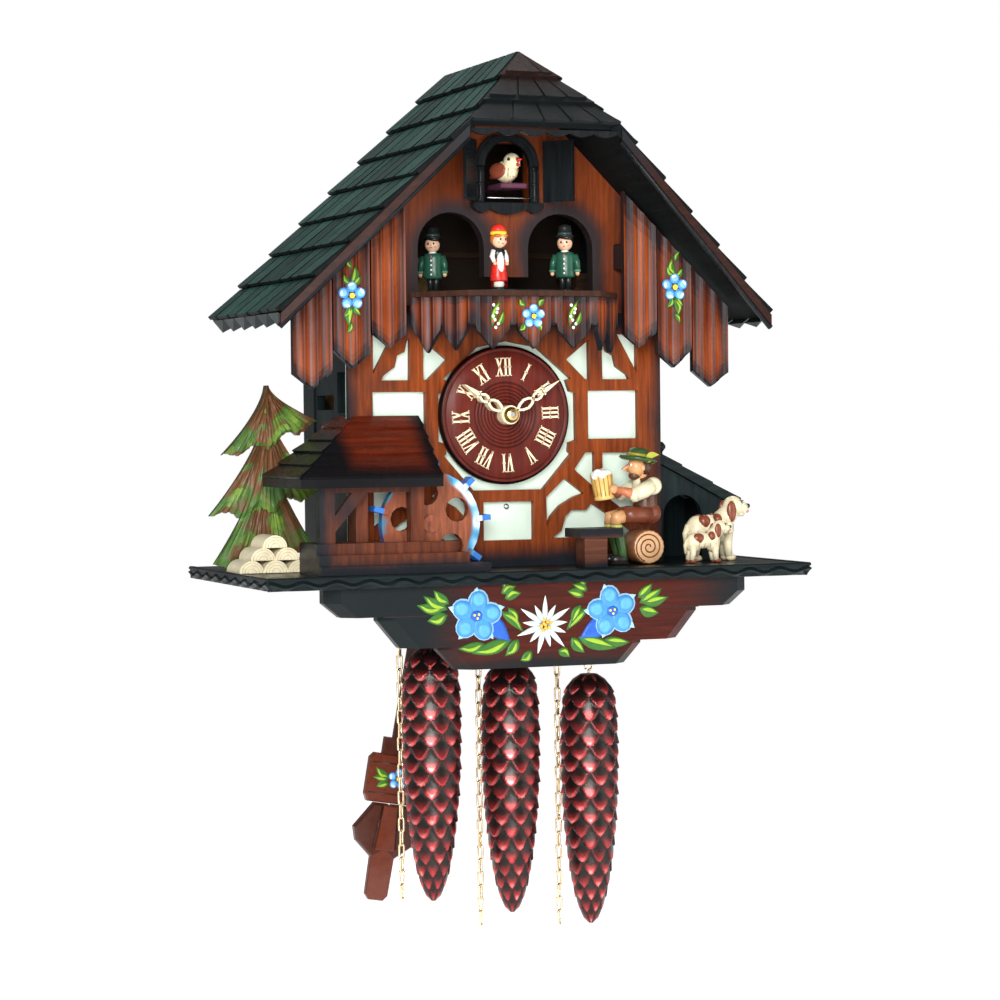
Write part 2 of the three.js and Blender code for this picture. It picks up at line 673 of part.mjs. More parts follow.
// ---------------------------------------------------------------------------
// Cuckoo, portal and doors
// ---------------------------------------------------------------------------
function birdPortal() {
  const frame = [
    [-20, 248], [-20, 208.6], [-24.3, 207.5], [-22, 205], [-15.3, 202], [-8, 204.8], [0, 203.8],
    [8, 204.8], [15.3, 202], [22, 205], [24.3, 207.5], [20, 208.6], [20, 248],
  ];
  const doorway = [
    [-DOORWAY_HALF, DOORWAY_BOTTOM], [DOORWAY_HALF, DOORWAY_BOTTOM],
    [DOORWAY_HALF, DOORWAY_TOP], [-DOORWAY_HALF, DOORWAY_TOP],
  ];
  return slabY(frame, [FACADE_FRONT - 4.6, FACADE_FRONT], [doorway]);
}

// Door leaf drawn closed from its hinge at the origin.
function birdDoor(side) {
  const across = side > 0 ? [-DOOR_WIDTH, 0] : [0, DOOR_WIDTH];
  const panel = [across[0] + 3, across[1] - 3];
  const leaf = box(across, [-1.2, 0.8], [209.4, 244.6]);
  return cut(leaf, box(panel, [-2, -0.6], [213, 241]));
}

function cuckoo() {
  const body = ellipsoid([0, -101, 10], [4.6, 9, 6]);
  const head = ellipsoid([0, -108, 16.5], [4, 4.3, 4.3]);
  const beak = limb([0, -111, 16.8], [0, -116, 16.2], 1.7, 0.4);
  const tail = limb([0, -95, 9], [0, -88.5, 7], 3, 1.8);
  const perch = box([-8, 8], [-114, -92], [0, 3]);
  const post = box([-1.5, 1.5], [-104, -98], [2.9, 6]);
  const arm = box([-2, 2], [-93, -66], [0, 3]);
  return join(body, head, beak, tail, perch, post, arm);
}

// ---------------------------------------------------------------------------
// Carousel and dancers
// ---------------------------------------------------------------------------
function carousel() {
  return turnedZ([[0, -14], [2.6, -14], [2.6, 0], [CAROUSEL_R, 0], [CAROUSEL_R, CAROUSEL_THICK], [0, CAROUSEL_THICK]],
    [0, 0, 0], 40);
}

function dancerMan() {
  return turnedZ([
    [0, 0], [4.6, 0], [4.6, 1.4], [2.6, 1.8], [2.6, 11], [5.4, 12.2], [5.8, 17], [5.2, 22.5], [2.2, 24.2],
    [3.8, 26.2], [4, 29.5], [3.2, 32.4], [5, 33], [5, 34], [3.3, 34.6], [3, 38.6], [0, 39.4],
  ], [0, 0, 0], 12);
}

function dancerLady() {
  return turnedZ([
    [0, 0], [4.4, 0], [4.4, 1.4], [1.9, 1.8], [1.9, 6.5], [5.8, 7.4], [4.8, 13], [3, 17.6], [4, 20.5], [3.6, 23.2],
    [1.8, 24.2], [3.7, 26.2], [4.2, 29.2], [4.2, 31.6], [3.4, 34.8], [1.6, 36.6], [0, 37],
  ], [0, 0, 0], 12);
}

// ---------------------------------------------------------------------------
// Mill
// ---------------------------------------------------------------------------
const MILL_POST_Y = [-129, -121.6];
const MILL_BACK = -100.3;

function millHouse() {
  const base = join(
    box([-126.6, -27], [-142, MILL_BACK], [0, 4.7]),
    box([-126.5, -38], [-137, MILL_BACK], [4.6, 10.8]),
    box([-126.4, -43], [-132, MILL_BACK], [10.7, 17]));
  const well = box([-92, 0], [WHEEL_Y - 6.4, WHEEL_Y + 6.4], [-1, 20]);
  const roofUnder = (y) => 53 + (y + 140.5) * 0.858 - 5 - GAP;
  const postTop = roofUnder(MILL_POST_Y[0]);
  const posts = [[-123.3, -114.4], [-70, -62]].map((x) => box(x, MILL_POST_Y, [16.9, postTop]));
  const brace = slabY([[-114.5, 23], [-114.5, 31.7], [-102.8, 46.7], [-93.7, 46.7]], [-128, -123]);
  const lintel = box([-123, -62], [-128, -123], [45, postTop]);
  const pier = box([-99.8, -92.5], [-121, -108], [16.9, 46]);
  return join(cut(base, well), posts, brace, lintel, pier);
}

function millRoof() {
  const ridge = 87.5;
  const eave = 53;
  const wallX = -92.6;
  const wallY = -100.3;
  const eaveX = -137.5;
  const eaveY = -140.5;
  const front = slopedBoard(
    [[-54.5, wallY, ridge], [wallX, wallY, ridge], [eaveX, eaveY, eave], [-54.5, eaveY, eave]], 5);
  const left = slopedBoard([[wallX, wallY, ridge], [wallX, -66, ridge], [eaveX, -66, eave], [eaveX, eaveY, eave]], 5);
  const facadeEdge = box([-FACADE_HALF - GAP, -80], [wallY, BACKING_BACK + GAP], [40, 100]);
  return cut(join(front, left), facadeEdge);
}

function millWheel() {
  const holes = [];
  for (let i = 0; i < WHEEL_HOLES; i += 1) {
    const angle = rad(26 + (360 * i) / WHEEL_HOLES);
    const [x, z] = [17.5 * Math.cos(angle), 17.5 * Math.sin(angle)];
    holes.push(circle([x, z], 7, 12));
  }
  const disc = slabY(circle([0, 0], WHEEL_RIM, 32), [-3, 3], holes);
  const paddles = [];
  for (let i = 0; i < PADDLES; i += 1) {
    const paddle = new THREE.BoxGeometry(WHEEL_TIP - 27, 10, 3);
    paddle.translate((WHEEL_TIP + 27) / 2, 0, 0);
    paddle.rotateY(rad(-5 - (360 * i) / PADDLES));
    paddles.push(solid(paddle));
  }
  const axle = rodY(1.6, [-5, 26], 0, 0);
  const hub = rodY(5, [-4.4, 4.4], 0, 0, 20);
  return join(disc, paddles, hub, axle);
}

// ---------------------------------------------------------------------------
// Tree, logs, table and seat
// ---------------------------------------------------------------------------
function tree() {
  const right = [[0, 106], [9, 98], [17, 92], [30.2, 81.5], [14, 74], [20, 66], [29.5, 52], [15, 45], [22, 36], [30.5, 21],
    [14, 13], [8, 12], [6, 0.2]];
  const left = [[-5, 0.2], [-8, 10], [-31.5, 7], [-17, 24], [-20, 30], [-33, 35], [-18, 50], [-15, 56], [-26.5, 68],
    [-14, 82], [-9, 92]];
  return slabY([...right, ...left], [-4, 4]);
}

function logPile() {
  const radius = 7.2;
  const pitch = 14;
  const rise = 7;
  const logs = [];
  for (let row = 0; row < 3; row += 1) {
    for (let i = 0; i < 3 - row; i += 1) {
      const x = (i - (2 - row) / 2) * pitch;
      const points = circle([x, 0.1 + row * rise], radius, 16).slice(0, 9);
      logs.push(slabY(points, [-14, 14]));
    }
  }
  return join(logs);
}

function table() {
  return join(
    box([-13.1, 13.1], [-12, 12], [17, 22.2]),
    box([-10.2, 3.8], [-10.5, 2], [0.1, 17.1]));
}

const barrelLog = () => rodY(10, [-10, 10], 0, 10.2, 28);

// ---------------------------------------------------------------------------
// Kennel, dogs and drinker
// ---------------------------------------------------------------------------
const KENNEL_FRONT = -88;
const KENNEL_X = [92.4, 146];
const KENNEL_PITCH = 0.534;
const kennelTop = (x) => 68.7 - KENNEL_PITCH * (x - KENNEL_X[0]);

function kennel() {
  const under = (x) => kennelTop(x) - 6.5 - GAP;
  const [x0, x1] = KENNEL_X;
  const walls = slabY([[x0, 0], [x1, 0], [x1, under(x1)], [x0, under(x0)]], [KENNEL_FRONT, -30]);
  const room = box([x0 + 2.6, x1 - 4], [KENNEL_FRONT + 4, -34], [-1, 80]);
  const doorX = 115.6;
  const doorHalf = 12.5;
  const spring = 26.5;
  const arch = circle([doorX, spring], doorHalf, 28).slice(0, 15);
  const doorway = slabY([...arch, [doorX - doorHalf, -1], [doorX + doorHalf, -1]], [KENNEL_FRONT - 1, -80]);
  return cut(walls, room, doorway);
}

function kennelRoof() {
  const xs = [KENNEL_X[0], 113, 133, 152.6];
  const boards = [];
  for (let i = 0; i < 3; i += 1) {
    const [a, b] = [xs[i], xs[i + 1]];
    const lap = i === 2 ? 0 : 1.2;
    boards.push(slopedBoard([
      [a, -91.6, kennelTop(a) - 0.9], [b + lap, -91.6, kennelTop(b + lap)],
      [b + lap, -26, kennelTop(b + lap)], [a, -26, kennelTop(a) - 0.9],
    ], 5.6));
  }
  const whole = slopedBoard([
    [xs[0], -91.6, kennelTop(xs[0]) - 2], [xs[3], -91.6, kennelTop(xs[3]) - 2],
    [xs[3], -26, kennelTop(xs[3]) - 2], [xs[0], -26, kennelTop(xs[0]) - 2],
  ], 4.5);
  const knob = turnedZ([[0, -6], [1.8, -6], [1.5, -2], [3.3, 0.4], [3.3, 1.8], [1.8, 3.8], [0, 4.4]],
    [101.8, -87, 66.6], 16);
  return join(whole, boards, knob);
}

function dog() {
  const legs = [];
  for (const [x, tilt] of [[-20, -1], [6, 1.5]]) {
    for (const y of [-4, 4]) {
      legs.push(limb([x, y, 16], [x + tilt, y, 2], 3.6, 2.6));
      legs.push(ellipsoid([x + tilt + 1.5, y, 2.1], [4, 2.8, 2]));
    }
  }
  return join(
    ellipsoid([-7, 0, 21], [18, 7, 7.6]), ellipsoid([-17, 0, 19], [8.5, 7, 9]), ellipsoid([5, 0, 20], [8, 7, 10]),
    limb([6, 0, 24], [13, 0, 31], 6, 5), ellipsoid([13.5, 0, 31.5], [6.8, 5.6, 5.8]),
    ellipsoid([19.5, 0, 31], [4.4, 3.6, 3.4]),
    ellipsoid([9.5, 5.2, 28.5], [3, 1.6, 5]), ellipsoid([9.5, -5.2, 28.5], [3, 1.6, 5]),
    limb([-24, 0, 17], [-25, 0, 6], 2, 1.2), legs);
}

function puppy() {
  const legs = [];
  for (const x of [-8.4, 3.4]) {
    for (const y of [-2.4, 2.4]) {
      legs.push(limb([x, y, 9], [x, y, 1.2], 2, 1.6));
      legs.push(ellipsoid([x + 0.8, y, 1.3], [2.4, 1.7, 1.2]));
    }
  }
  return join(
    ellipsoid([-2.5, 0, 12], [9.5, 4.4, 4.8]), limb([3, 0, 13], [8, 0, 17], 3.6, 3),
    ellipsoid([8.5, 0, 17.6], [4.6, 4, 4.4]), ellipsoid([12, 0, 16], [2.8, 2.2, 2]),
    ellipsoid([6, 3.6, 16.5], [2, 1, 3.6]), ellipsoid([6, -3.6, 16.5], [2, 1, 3.6]), legs);
}

function drinker() {
  const legs = [];
  for (const y of [-4.6, 4.6]) {
    legs.push(limb([3, y, 28], [-18, y, 27.8], 4.8, 3.9));
    legs.push(ellipsoid([-18, y, 27.8], [3.9, 3.9, 3.9]));
    legs.push(limb([-18, y, 27], [-13.5, y, 5], 3.4, 2.4));
    legs.push(ellipsoid([-16.4, y, 3], [6.2, 2.7, 2.8]));
  }
  const hat = turnedZ([[0, 0], [8.6, 0], [8.8, 1.4], [6, 2], [5.2, 6], [0, 6.6]], [-5, 0, 60.8], 20);
  const figure = join(
    ellipsoid([3, 0, 29], [8.6, 8, 7.4]), ellipsoid([2.4, 0, 41], [8, 6.4, 12]),
    ellipsoid([-1, 0, 51], [3.4, 3.4, 5]), ellipsoid([-3.4, 0, 57], [6.2, 5.4, 6.4]),
    limb([-8.4, 0, 56.6], [-11.6, 0, 56], 1.6, 0.9), hat, legs);
  return cut(figure, rodY(10.4, [-20, 20], 0, 10.2, 28));
}

// Both arms and the stein, drawn from the shoulder pivot.
function drinkerArms() {
  const pieces = [];
  for (const side of [-1, 1]) {
    pieces.push(ellipsoid([0, side * 10.4, 0], [3.7, 3.4, 3.7]));
    pieces.push(limb([0, side * 10.4, 0], [-11, side * 10, -6.5], 3.4, 2.8));
    pieces.push(ellipsoid([-11, side * 10, -6.5], [2.9, 2.9, 2.9]));
    pieces.push(limb([-11, side * 10, -6.5], [-24, side * 4.5, -1.5], 2.8, 2));
  }
  const stein = turnedZ([[0, -7.6], [6, -7.6], [5.4, -5.6], [5.2, 6.6], [5.8, 7.8], [4.4, 10], [0, 10.4]],
    [-27, 0, -0.5], 18);
  return join(pieces, stein);
}

// ---------------------------------------------------------------------------
// Pendulum, weights and chains
// ---------------------------------------------------------------------------
function pendulum() {
  const rod = slabY([[-1.6, 3], [-1.6, -240], [1.6, -240], [1.6, 3]], [-0.9, 0.9]);
  const eye = cut(rodY(4, [-0.9, 0.9], 0, 0, 20), rodY(1.35, [-2, 2], 0, 0, 16));
  const clear = rodY(1.35, [-2, 2], 0, 0, 16);
  const bob = slabY([
    [-9.7, -236], [-9.7, -246], [-14, -246], [-17, -251], [-17, -270], [-14.5, -275], [-20.5, -296], [-15, -304],
    [-8, -304], [-8, -333], [8, -333], [8, -304], [15, -304], [20.5, -296], [14.5, -275], [17, -270], [17, -251],
    [14, -246], [9.7, -246], [9.7, -236],
  ], [-2.5, 2.5]);
  return cut(join(rod, eye, bob), clear);
}

const CONE_PROFILE = [
  [0, 4.5], [0.03, 9.5], [0.1, 14.4], [0.22, 17.2], [0.36, 17.9], [0.55, 16.4], [0.72, 13.6], [0.86, 10.2], [0.95, 6.8], [1, 2.5],
];

function weight(tipZ) {
  const profile = [[0, WEIGHT_LENGTH]];
  for (const [along, radius] of CONE_PROFILE) profile.push([radius, WEIGHT_LENGTH * (1 - along)]);
  profile.push([0, 0]);
  const cone = turnedZ(profile, [0, 0, tipZ], 16);
  const half = CHAIN_WIDTH / 2;
  const strand = box([-half, half], [-half, half], [tipZ + WEIGHT_LENGTH - 2, WEIGHT_STRAND_TOP]);
  return join(cone, strand);
}

function freeChain(endZ) {
  const half = CHAIN_WIDTH / 2;
  const ring = new THREE.TorusGeometry(2.6, 0.8, 6, 12);
  ring.rotateX(Math.PI / 2);
  ring.rotateZ(Math.atan2(FREE_FROM_WEIGHT, FREE_Y - CHAIN_Y));
  ring.translate(0, 0, endZ + 3.4);
  return join(box([-half, half], [-half, half], [endZ + 5.7, FREE_STRAND_TOP]), solid(ring));
}

// ---------------------------------------------------------------------------
// Assembly
// ---------------------------------------------------------------------------
const group = new THREE.Group();
group.name = 'cuckoo_clock';
const house = new THREE.Group();
house.name = 'house';
house.position.z = -NAIL_Z;
group.add(house);

function add(name, material, body, at = [0, 0, 0], parent = house) {
  const mesh = meshOf(name, material, body);
  mesh.position.set(...at);
  parent.add(mesh);
  return mesh;
}

add('case_side_left', DARK_WOOD, caseSide(-1));
add('case_side_right', DARK_WOOD, caseSide(1));
add('side_vent_left', DARK_WOOD, sideVent(-1));
add('side_vent_right', DARK_WOOD, sideVent(1));
add('facade_backing', PANEL_WHITE, facadeBacking());
add('facade_fretwork', STAINED_WOOD, facadeFretwork());
add('gable_board', STAINED_WOOD, gableBoard());
add('rear_gable', BARE_WOOD, rearGable());
add('back_panel', BARE_WOOD, backPanel());
add('wall_hanger', STEEL, wallHanger());
add('roof_left', SHINGLE, roofSlope(-1));
add('roof_right', SHINGLE, roofSlope(1));
add('roof_hip', SHINGLE, roofHip());
add('base_shelf', DARK_WOOD, baseShelf());
add('base_apron', DARK_WOOD, join(APRON_TIERS.map(apronTier)));
add('wing_boards_left', STAINED_WOOD, wingBoards(-1));
add('wing_boards_right', STAINED_WOOD, wingBoards(1));
add('balcony', STAINED_WOOD, balcony());
add('bird_portal', DARK_WOOD, birdPortal());

const dialGroup = new THREE.Group();
dialGroup.position.set(DIAL_X, 0, DIAL_Z);
house.add(dialGroup);
add('dial', DIAL_BROWN, dial(), [0, 0, 0], dialGroup);
add('hour_hand', HAND_CREAM, hourHand(), [0, 0, 0], dialGroup).rotation.y = rad(HOUR_ANGLE);
add('minute_hand', HAND_CREAM, minuteHand(), [0, 0, 0], dialGroup).rotation.y = rad(MINUTE_ANGLE);
add('centre_arbor', STEEL, centreArbor(), [0, 0, 0], dialGroup);
add('hand_nut', BRASS, handNut(), [0, 0, 0], dialGroup);

add('movement_front_plate', BRASS, frontPlate());
add('movement_back_plate', BRASS, backPlate());
add('music_box', BRASS, musicBox());
add('whistle_left', BARE_WOOD, whistle(-1));
add('whistle_right', BARE_WOOD, whistle(1));

for (const side of [-1, 1]) {
  const name = side < 0 ? 'bird_door_left' : 'bird_door_right';
  const door = add(name, DARK_WOOD, birdDoor(side), [side * DOOR_HINGE_X, DOOR_HINGE_Y, 0]);
  door.rotation.z = rad(side * DOOR_OPEN);
}
add('cuckoo', ANIMAL_CREAM, cuckoo(), [0, 0, CUCKOO_Z]);

const stage = new THREE.Group();
stage.position.set(0, CAROUSEL_Y, CAROUSEL_Z);
house.add(stage);
add('carousel', DARK_WOOD, carousel(), [0, 0, 0], stage);
const DANCERS = [
  ['dancer_lady_front', SKIRT_RED, dancerLady, -90],
  ['dancer_man_right', COAT_GREEN, dancerMan, 0],
  ['dancer_lady_back', SKIRT_RED, dancerLady, 90],
  ['dancer_man_left', COAT_GREEN, dancerMan, 180],
];
for (const [name, material, build, angle] of DANCERS) {
  const turn = rad(angle - DANCER_PHASE);
  const at = [DANCER_R * Math.cos(turn), DANCER_R * Math.sin(turn), CAROUSEL_THICK];
  add(name, material, build(), at, stage);
}

add('mill_house', DARK_WOOD, millHouse());
add('mill_roof', STAINED_WOOD, millRoof());
add('mill_wheel', WHEEL_WOOD, millWheel(), [WHEEL_X, WHEEL_Y, WHEEL_Z]);
add('tree', TREE_GREEN, tree(), [-128.5, -44, 0]);
add('log_pile', LOG_CREAM, logPile(), [-140, -86, 0]);
add('table', DARK_WOOD, table(), [40.6, -130, 0]);
add('barrel_log', BARE_WOOD, barrelLog(), [76.9, -116, 0]);
add('drinker', BREECHES, drinker(), [76.9, -116, 0]);
add('drinker_arms', SHIRT_CREAM, drinkerArms(), [79.3, -116, 46]);
add('kennel', DARK_WOOD, kennel());
add('kennel_roof', SHINGLE, kennelRoof());
add('dog', ANIMAL_CREAM, dog(), [129, -109, 0]);
add('puppy', ANIMAL_CREAM, puppy(), [112.5, -126, 0]);

const swinging = add('pendulum', STAINED_WOOD, pendulum(), [DIAL_X, PENDULUM_Y, PENDULUM_Z]);
swinging.rotation.y = rad(PENDULUM_TILT);

for (const train of TRAINS) {
  const x = WEIGHT_X[train];
  add(`weight_${train}`, CONE_IRON, weight(WEIGHT_TIP[train]), [x, CHAIN_Y, 0]);
  add(`chain_${train}`, BRASS, freeChain(CHAIN_END[train]), [x - FREE_FROM_WEIGHT, FREE_Y, 0]);
  add(`${train}_great_wheel`, BRASS, greatWheel(), [trainX(train), 0, GREAT_WHEEL_Z]);
}

export default group;
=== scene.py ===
"""Looks of the chalet cuckoo clock.

Pieces are built in house millimetres, with the shelf's top at zero, and placed in the shared frame.
"""

import itertools
import math
import random

import bpy
from mathutils import Matrix, Vector


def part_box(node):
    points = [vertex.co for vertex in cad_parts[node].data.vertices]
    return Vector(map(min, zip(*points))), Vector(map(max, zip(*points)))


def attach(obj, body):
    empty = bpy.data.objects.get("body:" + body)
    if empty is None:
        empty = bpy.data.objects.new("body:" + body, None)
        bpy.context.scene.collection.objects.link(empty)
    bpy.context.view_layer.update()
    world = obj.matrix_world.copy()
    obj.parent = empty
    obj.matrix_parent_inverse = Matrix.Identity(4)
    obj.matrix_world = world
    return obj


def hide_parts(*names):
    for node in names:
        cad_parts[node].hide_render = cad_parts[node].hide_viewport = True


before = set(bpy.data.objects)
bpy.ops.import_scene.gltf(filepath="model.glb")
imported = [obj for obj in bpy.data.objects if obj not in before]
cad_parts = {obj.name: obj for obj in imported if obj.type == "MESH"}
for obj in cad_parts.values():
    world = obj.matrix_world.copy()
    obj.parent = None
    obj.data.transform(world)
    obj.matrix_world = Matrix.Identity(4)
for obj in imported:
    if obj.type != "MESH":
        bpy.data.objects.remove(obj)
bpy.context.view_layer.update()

# ---------------------------------------------------------------------------
# Frame
# ---------------------------------------------------------------------------
MM = 0.001
SHELF_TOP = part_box("base_shelf")[1][2] / MM
HOUSE = "house"
RANDOM = random.Random(7)


def place(point):
    """House millimetres to the frame's metres."""
    x, y, z = point
    return (x * MM, y * MM, (z + SHELF_TOP) * MM)


def low(node):
    """Lowest corner of a node's box, in house mm."""
    x, y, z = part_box(node)[0]
    return (x / MM, y / MM, z / MM - SHELF_TOP)


def high(node):
    """Highest corner of a node's box, in house mm."""
    x, y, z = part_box(node)[1]
    return (x / MM, y / MM, z / MM - SHELF_TOP)


def centre(node):
    return tuple((a + b) / 2 for a, b in zip(low(node), high(node)))


# ---------------------------------------------------------------------------
# Camera, lights and floor
# ---------------------------------------------------------------------------
CAMERA_TURN = (0.3675, 0.0277, -0.0106)    # yaw, pitch and roll in radians
CAMERA_AT = (-607.2, -1663.35, 84.9)
CAMERA_LENS = 104.6
LIGHT_TARGET = (0, -80, 60)
BACKDROP_LIGHT = 0.17
FLOOR_HALF, FLOOR_Z, FLOOR_GLOW = 6.0, -0.66, 0.84


def add_camera():
    """Nearly level view from the front left."""
    yaw, pitch, roll = CAMERA_TURN
    forward = Vector((math.sin(yaw) * math.cos(pitch), math.cos(yaw) * math.cos(pitch), -math.sin(pitch)))
    right = Vector((math.cos(yaw), -math.sin(yaw), 0))
    up = right.cross(forward)
    turned_right = right * math.cos(roll) + up * math.sin(roll)
    turned_up = up * math.cos(roll) - right * math.sin(roll)
    matrix = Matrix((turned_right, turned_up, -forward)).transposed().to_4x4()
    matrix.translation = Vector(place(CAMERA_AT))
    data = bpy.data.cameras.new("camera")
    data.lens = CAMERA_LENS
    data.sensor_width = 36
    data.clip_end = 50
    camera = bpy.data.objects.new("camera", data)
    bpy.context.collection.objects.link(camera)
    camera.matrix_world = matrix
    bpy.context.scene.camera = camera


def add_area(name, at, size, power):
    """Soft rectangular light aimed at the dial; at in house mm, size in metres, power in watts."""
    data = bpy.data.lights.new(name, "AREA")
    data.shape = "RECTANGLE"
    data.size, data.size_y = size
    data.energy = power
    light = bpy.data.objects.new(name, data)
    bpy.context.collection.objects.link(light)
    light.location = place(at)
    aim = Vector(place(LIGHT_TARGET)) - light.location
    light.rotation_euler = aim.to_track_quat("-Z", "Y").to_euler()


def add_studio():
    """Four soft lights and a white backdrop that lights the clock only faintly."""
    add_area("key", (-900, -1900, 640), (0.8, 0.8), 48)
    add_area("fill", (1400, -1300, 200), (1.4, 1.4), 13)
    add_area("front", (-500, -2000, 0), (0.7, 0.7), 12)
    add_area("back_top", (200, 900, 1400), (1.5, 1.0), 14)
    world = bpy.data.worlds.new("studio")
    bpy.context.scene.world = world
    world.use_nodes = True
    tree = world.node_tree
    sky = tree.nodes["Background"]
    path = tree.nodes.new("ShaderNodeLightPath")
    level = tree.nodes.new("ShaderNodeMapRange")
    level.inputs["To Min"].default_value = BACKDROP_LIGHT
    level.inputs["To Max"].default_value = 1.0
    tree.links.new(path.outputs["Is Camera Ray"], level.inputs["Value"])
    tree.links.new(level.outputs["Result"], sky.inputs["Strength"])
    sky.inputs["Color"].default_value = (1, 1, 1, 1)
    bpy.context.scene.view_settings.view_transform = "Standard"


def add_floor():
    """Plain pale floor."""
    size, floor_z = FLOOR_HALF, FLOOR_Z
    mesh = bpy.data.meshes.new("floor")
    mesh.from_pydata([(-size, -size, floor_z), (size, -size, floor_z), (size, size, floor_z), (-size, size, floor_z)],
                     [], [(0, 1, 2, 3)])
    floor = bpy.data.objects.new("floor", mesh)
    bpy.context.collection.objects.link(floor)
    material = bpy.data.materials.new("floor_white")
    material.use_nodes = True
    shader = material.node_tree.nodes["Principled BSDF"]
    shader.inputs["Base Color"].default_value = (0.9, 0.9, 0.9, 1)
    shader.inputs["Roughness"].default_value = 0.8
    shader.inputs["Emission Color"].default_value = (1, 1, 1, 1)
    shader.inputs["Emission Strength"].default_value = FLOOR_GLOW
    mesh.materials.append(material)


# ---------------------------------------------------------------------------
# Materials
# ---------------------------------------------------------------------------
COAT_ROUGHNESS = 0.25
GRAIN = {"x": (4, 60, 60), "y": (60, 4, 60), "z": (60, 60, 4)}
NIGHT = (0.008, 0.010, 0.013)
MAT = {}


class Nodes:
    """Small helper round one material's node tree."""

    def __init__(self, name):
        self.material = bpy.data.materials.new(name)
        self.material.use_nodes = True
        self.tree = self.material.node_tree
        self.shader = self.tree.nodes["Principled BSDF"]
        self.coord = self.tree.nodes.new("ShaderNodeTexCoord").outputs["Object"]

    def node(self, kind, **settings):
        made = self.tree.nodes.new(kind)
        for key, value in settings.items():
            setattr(made, key, value)
        return made

    def link(self, output, socket):
        self.tree.links.new(output, socket)

    def feed(self, socket, value):
        """Links a socket's source, or sets a constant."""
        if hasattr(value, "links"):
            self.link(value, socket)
        else:
            socket.default_value = value

    def noise(self, scale, stretch=(1, 1, 1), detail=5.0, rough=0.6, distortion=0.0):
        """Noise over the object's own coordinates; stretch scales each axis, which makes grain."""
        mapping = self.node("ShaderNodeMapping")
        mapping.inputs["Scale"].default_value = stretch
        self.link(self.coord, mapping.inputs["Vector"])
        made = self.node("ShaderNodeTexNoise")
        for key, value in (("Scale", scale), ("Detail", detail), ("Roughness", rough), ("Distortion", distortion)):
            made.inputs[key].default_value = value
        self.link(mapping.outputs["Vector"], made.inputs["Vector"])
        return made.outputs["Fac"]

    def ramp(self, factor, stops):
        """Colour ramp through (position, colour) stops."""
        made = self.node("ShaderNodeValToRGB")
        elements = made.color_ramp.elements
        while len(elements) < len(stops):
            elements.new(0.5)
        for element, (at, colour) in zip(elements, stops):
            element.position = at
            element.color = (*colour, 1)
        self.link(factor, made.inputs["Fac"])
        return made.outputs["Color"]

    def mix(self, factor, a, b, blend="MIX"):
        """Blend of two colours; the mix node's colour sockets are its seventh and eighth."""
        made = self.node("ShaderNodeMix", data_type="RGBA", blend_type=blend)
        self.feed(made.inputs[0], factor)
        for key, value in ((6, a), (7, b)):
            self.feed(made.inputs[key], (*value, 1) if isinstance(value, tuple) else value)
        return made.outputs[2]

    def math(self, operation, a, b=0.0):
        made = self.node("ShaderNodeMath", operation=operation)
        self.feed(made.inputs[0], a)
        self.feed(made.inputs[1], b)
        return made.outputs[0]

    def spread(self, value, from_low, from_high, to_low=0.0, to_high=1.0):
        """Smooth step of a value from one range to another."""
        made = self.node("ShaderNodeMapRange", interpolation_type="SMOOTHSTEP")
        self.link(value, made.inputs["Value"])
        for key, number in (("From Min", from_low), ("From Max", from_high), ("To Min", to_low), ("To Max", to_high)):
            made.inputs[key].default_value = number
        return made.outputs["Result"]

    def axis(self, index):
        """One coordinate, in metres."""
        made = self.node("ShaderNodeSeparateXYZ")
        self.link(self.coord, made.inputs["Vector"])
        return made.outputs[index]

    def paint(self):
        """The colour laid on the mesh face by face."""
        return self.node("ShaderNodeAttribute", attribute_name="paint").outputs["Color"]

    def finish(self, colour, rough, height, strength, distance, metallic=0.0, coat=0.0, specular=0.2):
        """Connects the shader: colour, roughness and a bump of the given strength and depth in metres."""
        inputs = self.shader.inputs
        self.link(colour, inputs["Base Color"])
        self.feed(inputs["Roughness"], rough)
        inputs["Metallic"].default_value = metallic
        inputs["Specular IOR Level"].default_value = specular
        if coat:
            inputs["Coat Weight"].default_value = coat
            inputs["Coat Roughness"].default_value = COAT_ROUGHNESS
        bump = self.node("ShaderNodeBump")
        bump.inputs["Strength"].default_value = strength
        bump.inputs["Distance"].default_value = distance
        self.link(height, bump.inputs["Height"])
        self.link(bump.outputs["Normal"], inputs["Normal"])
        return self.material


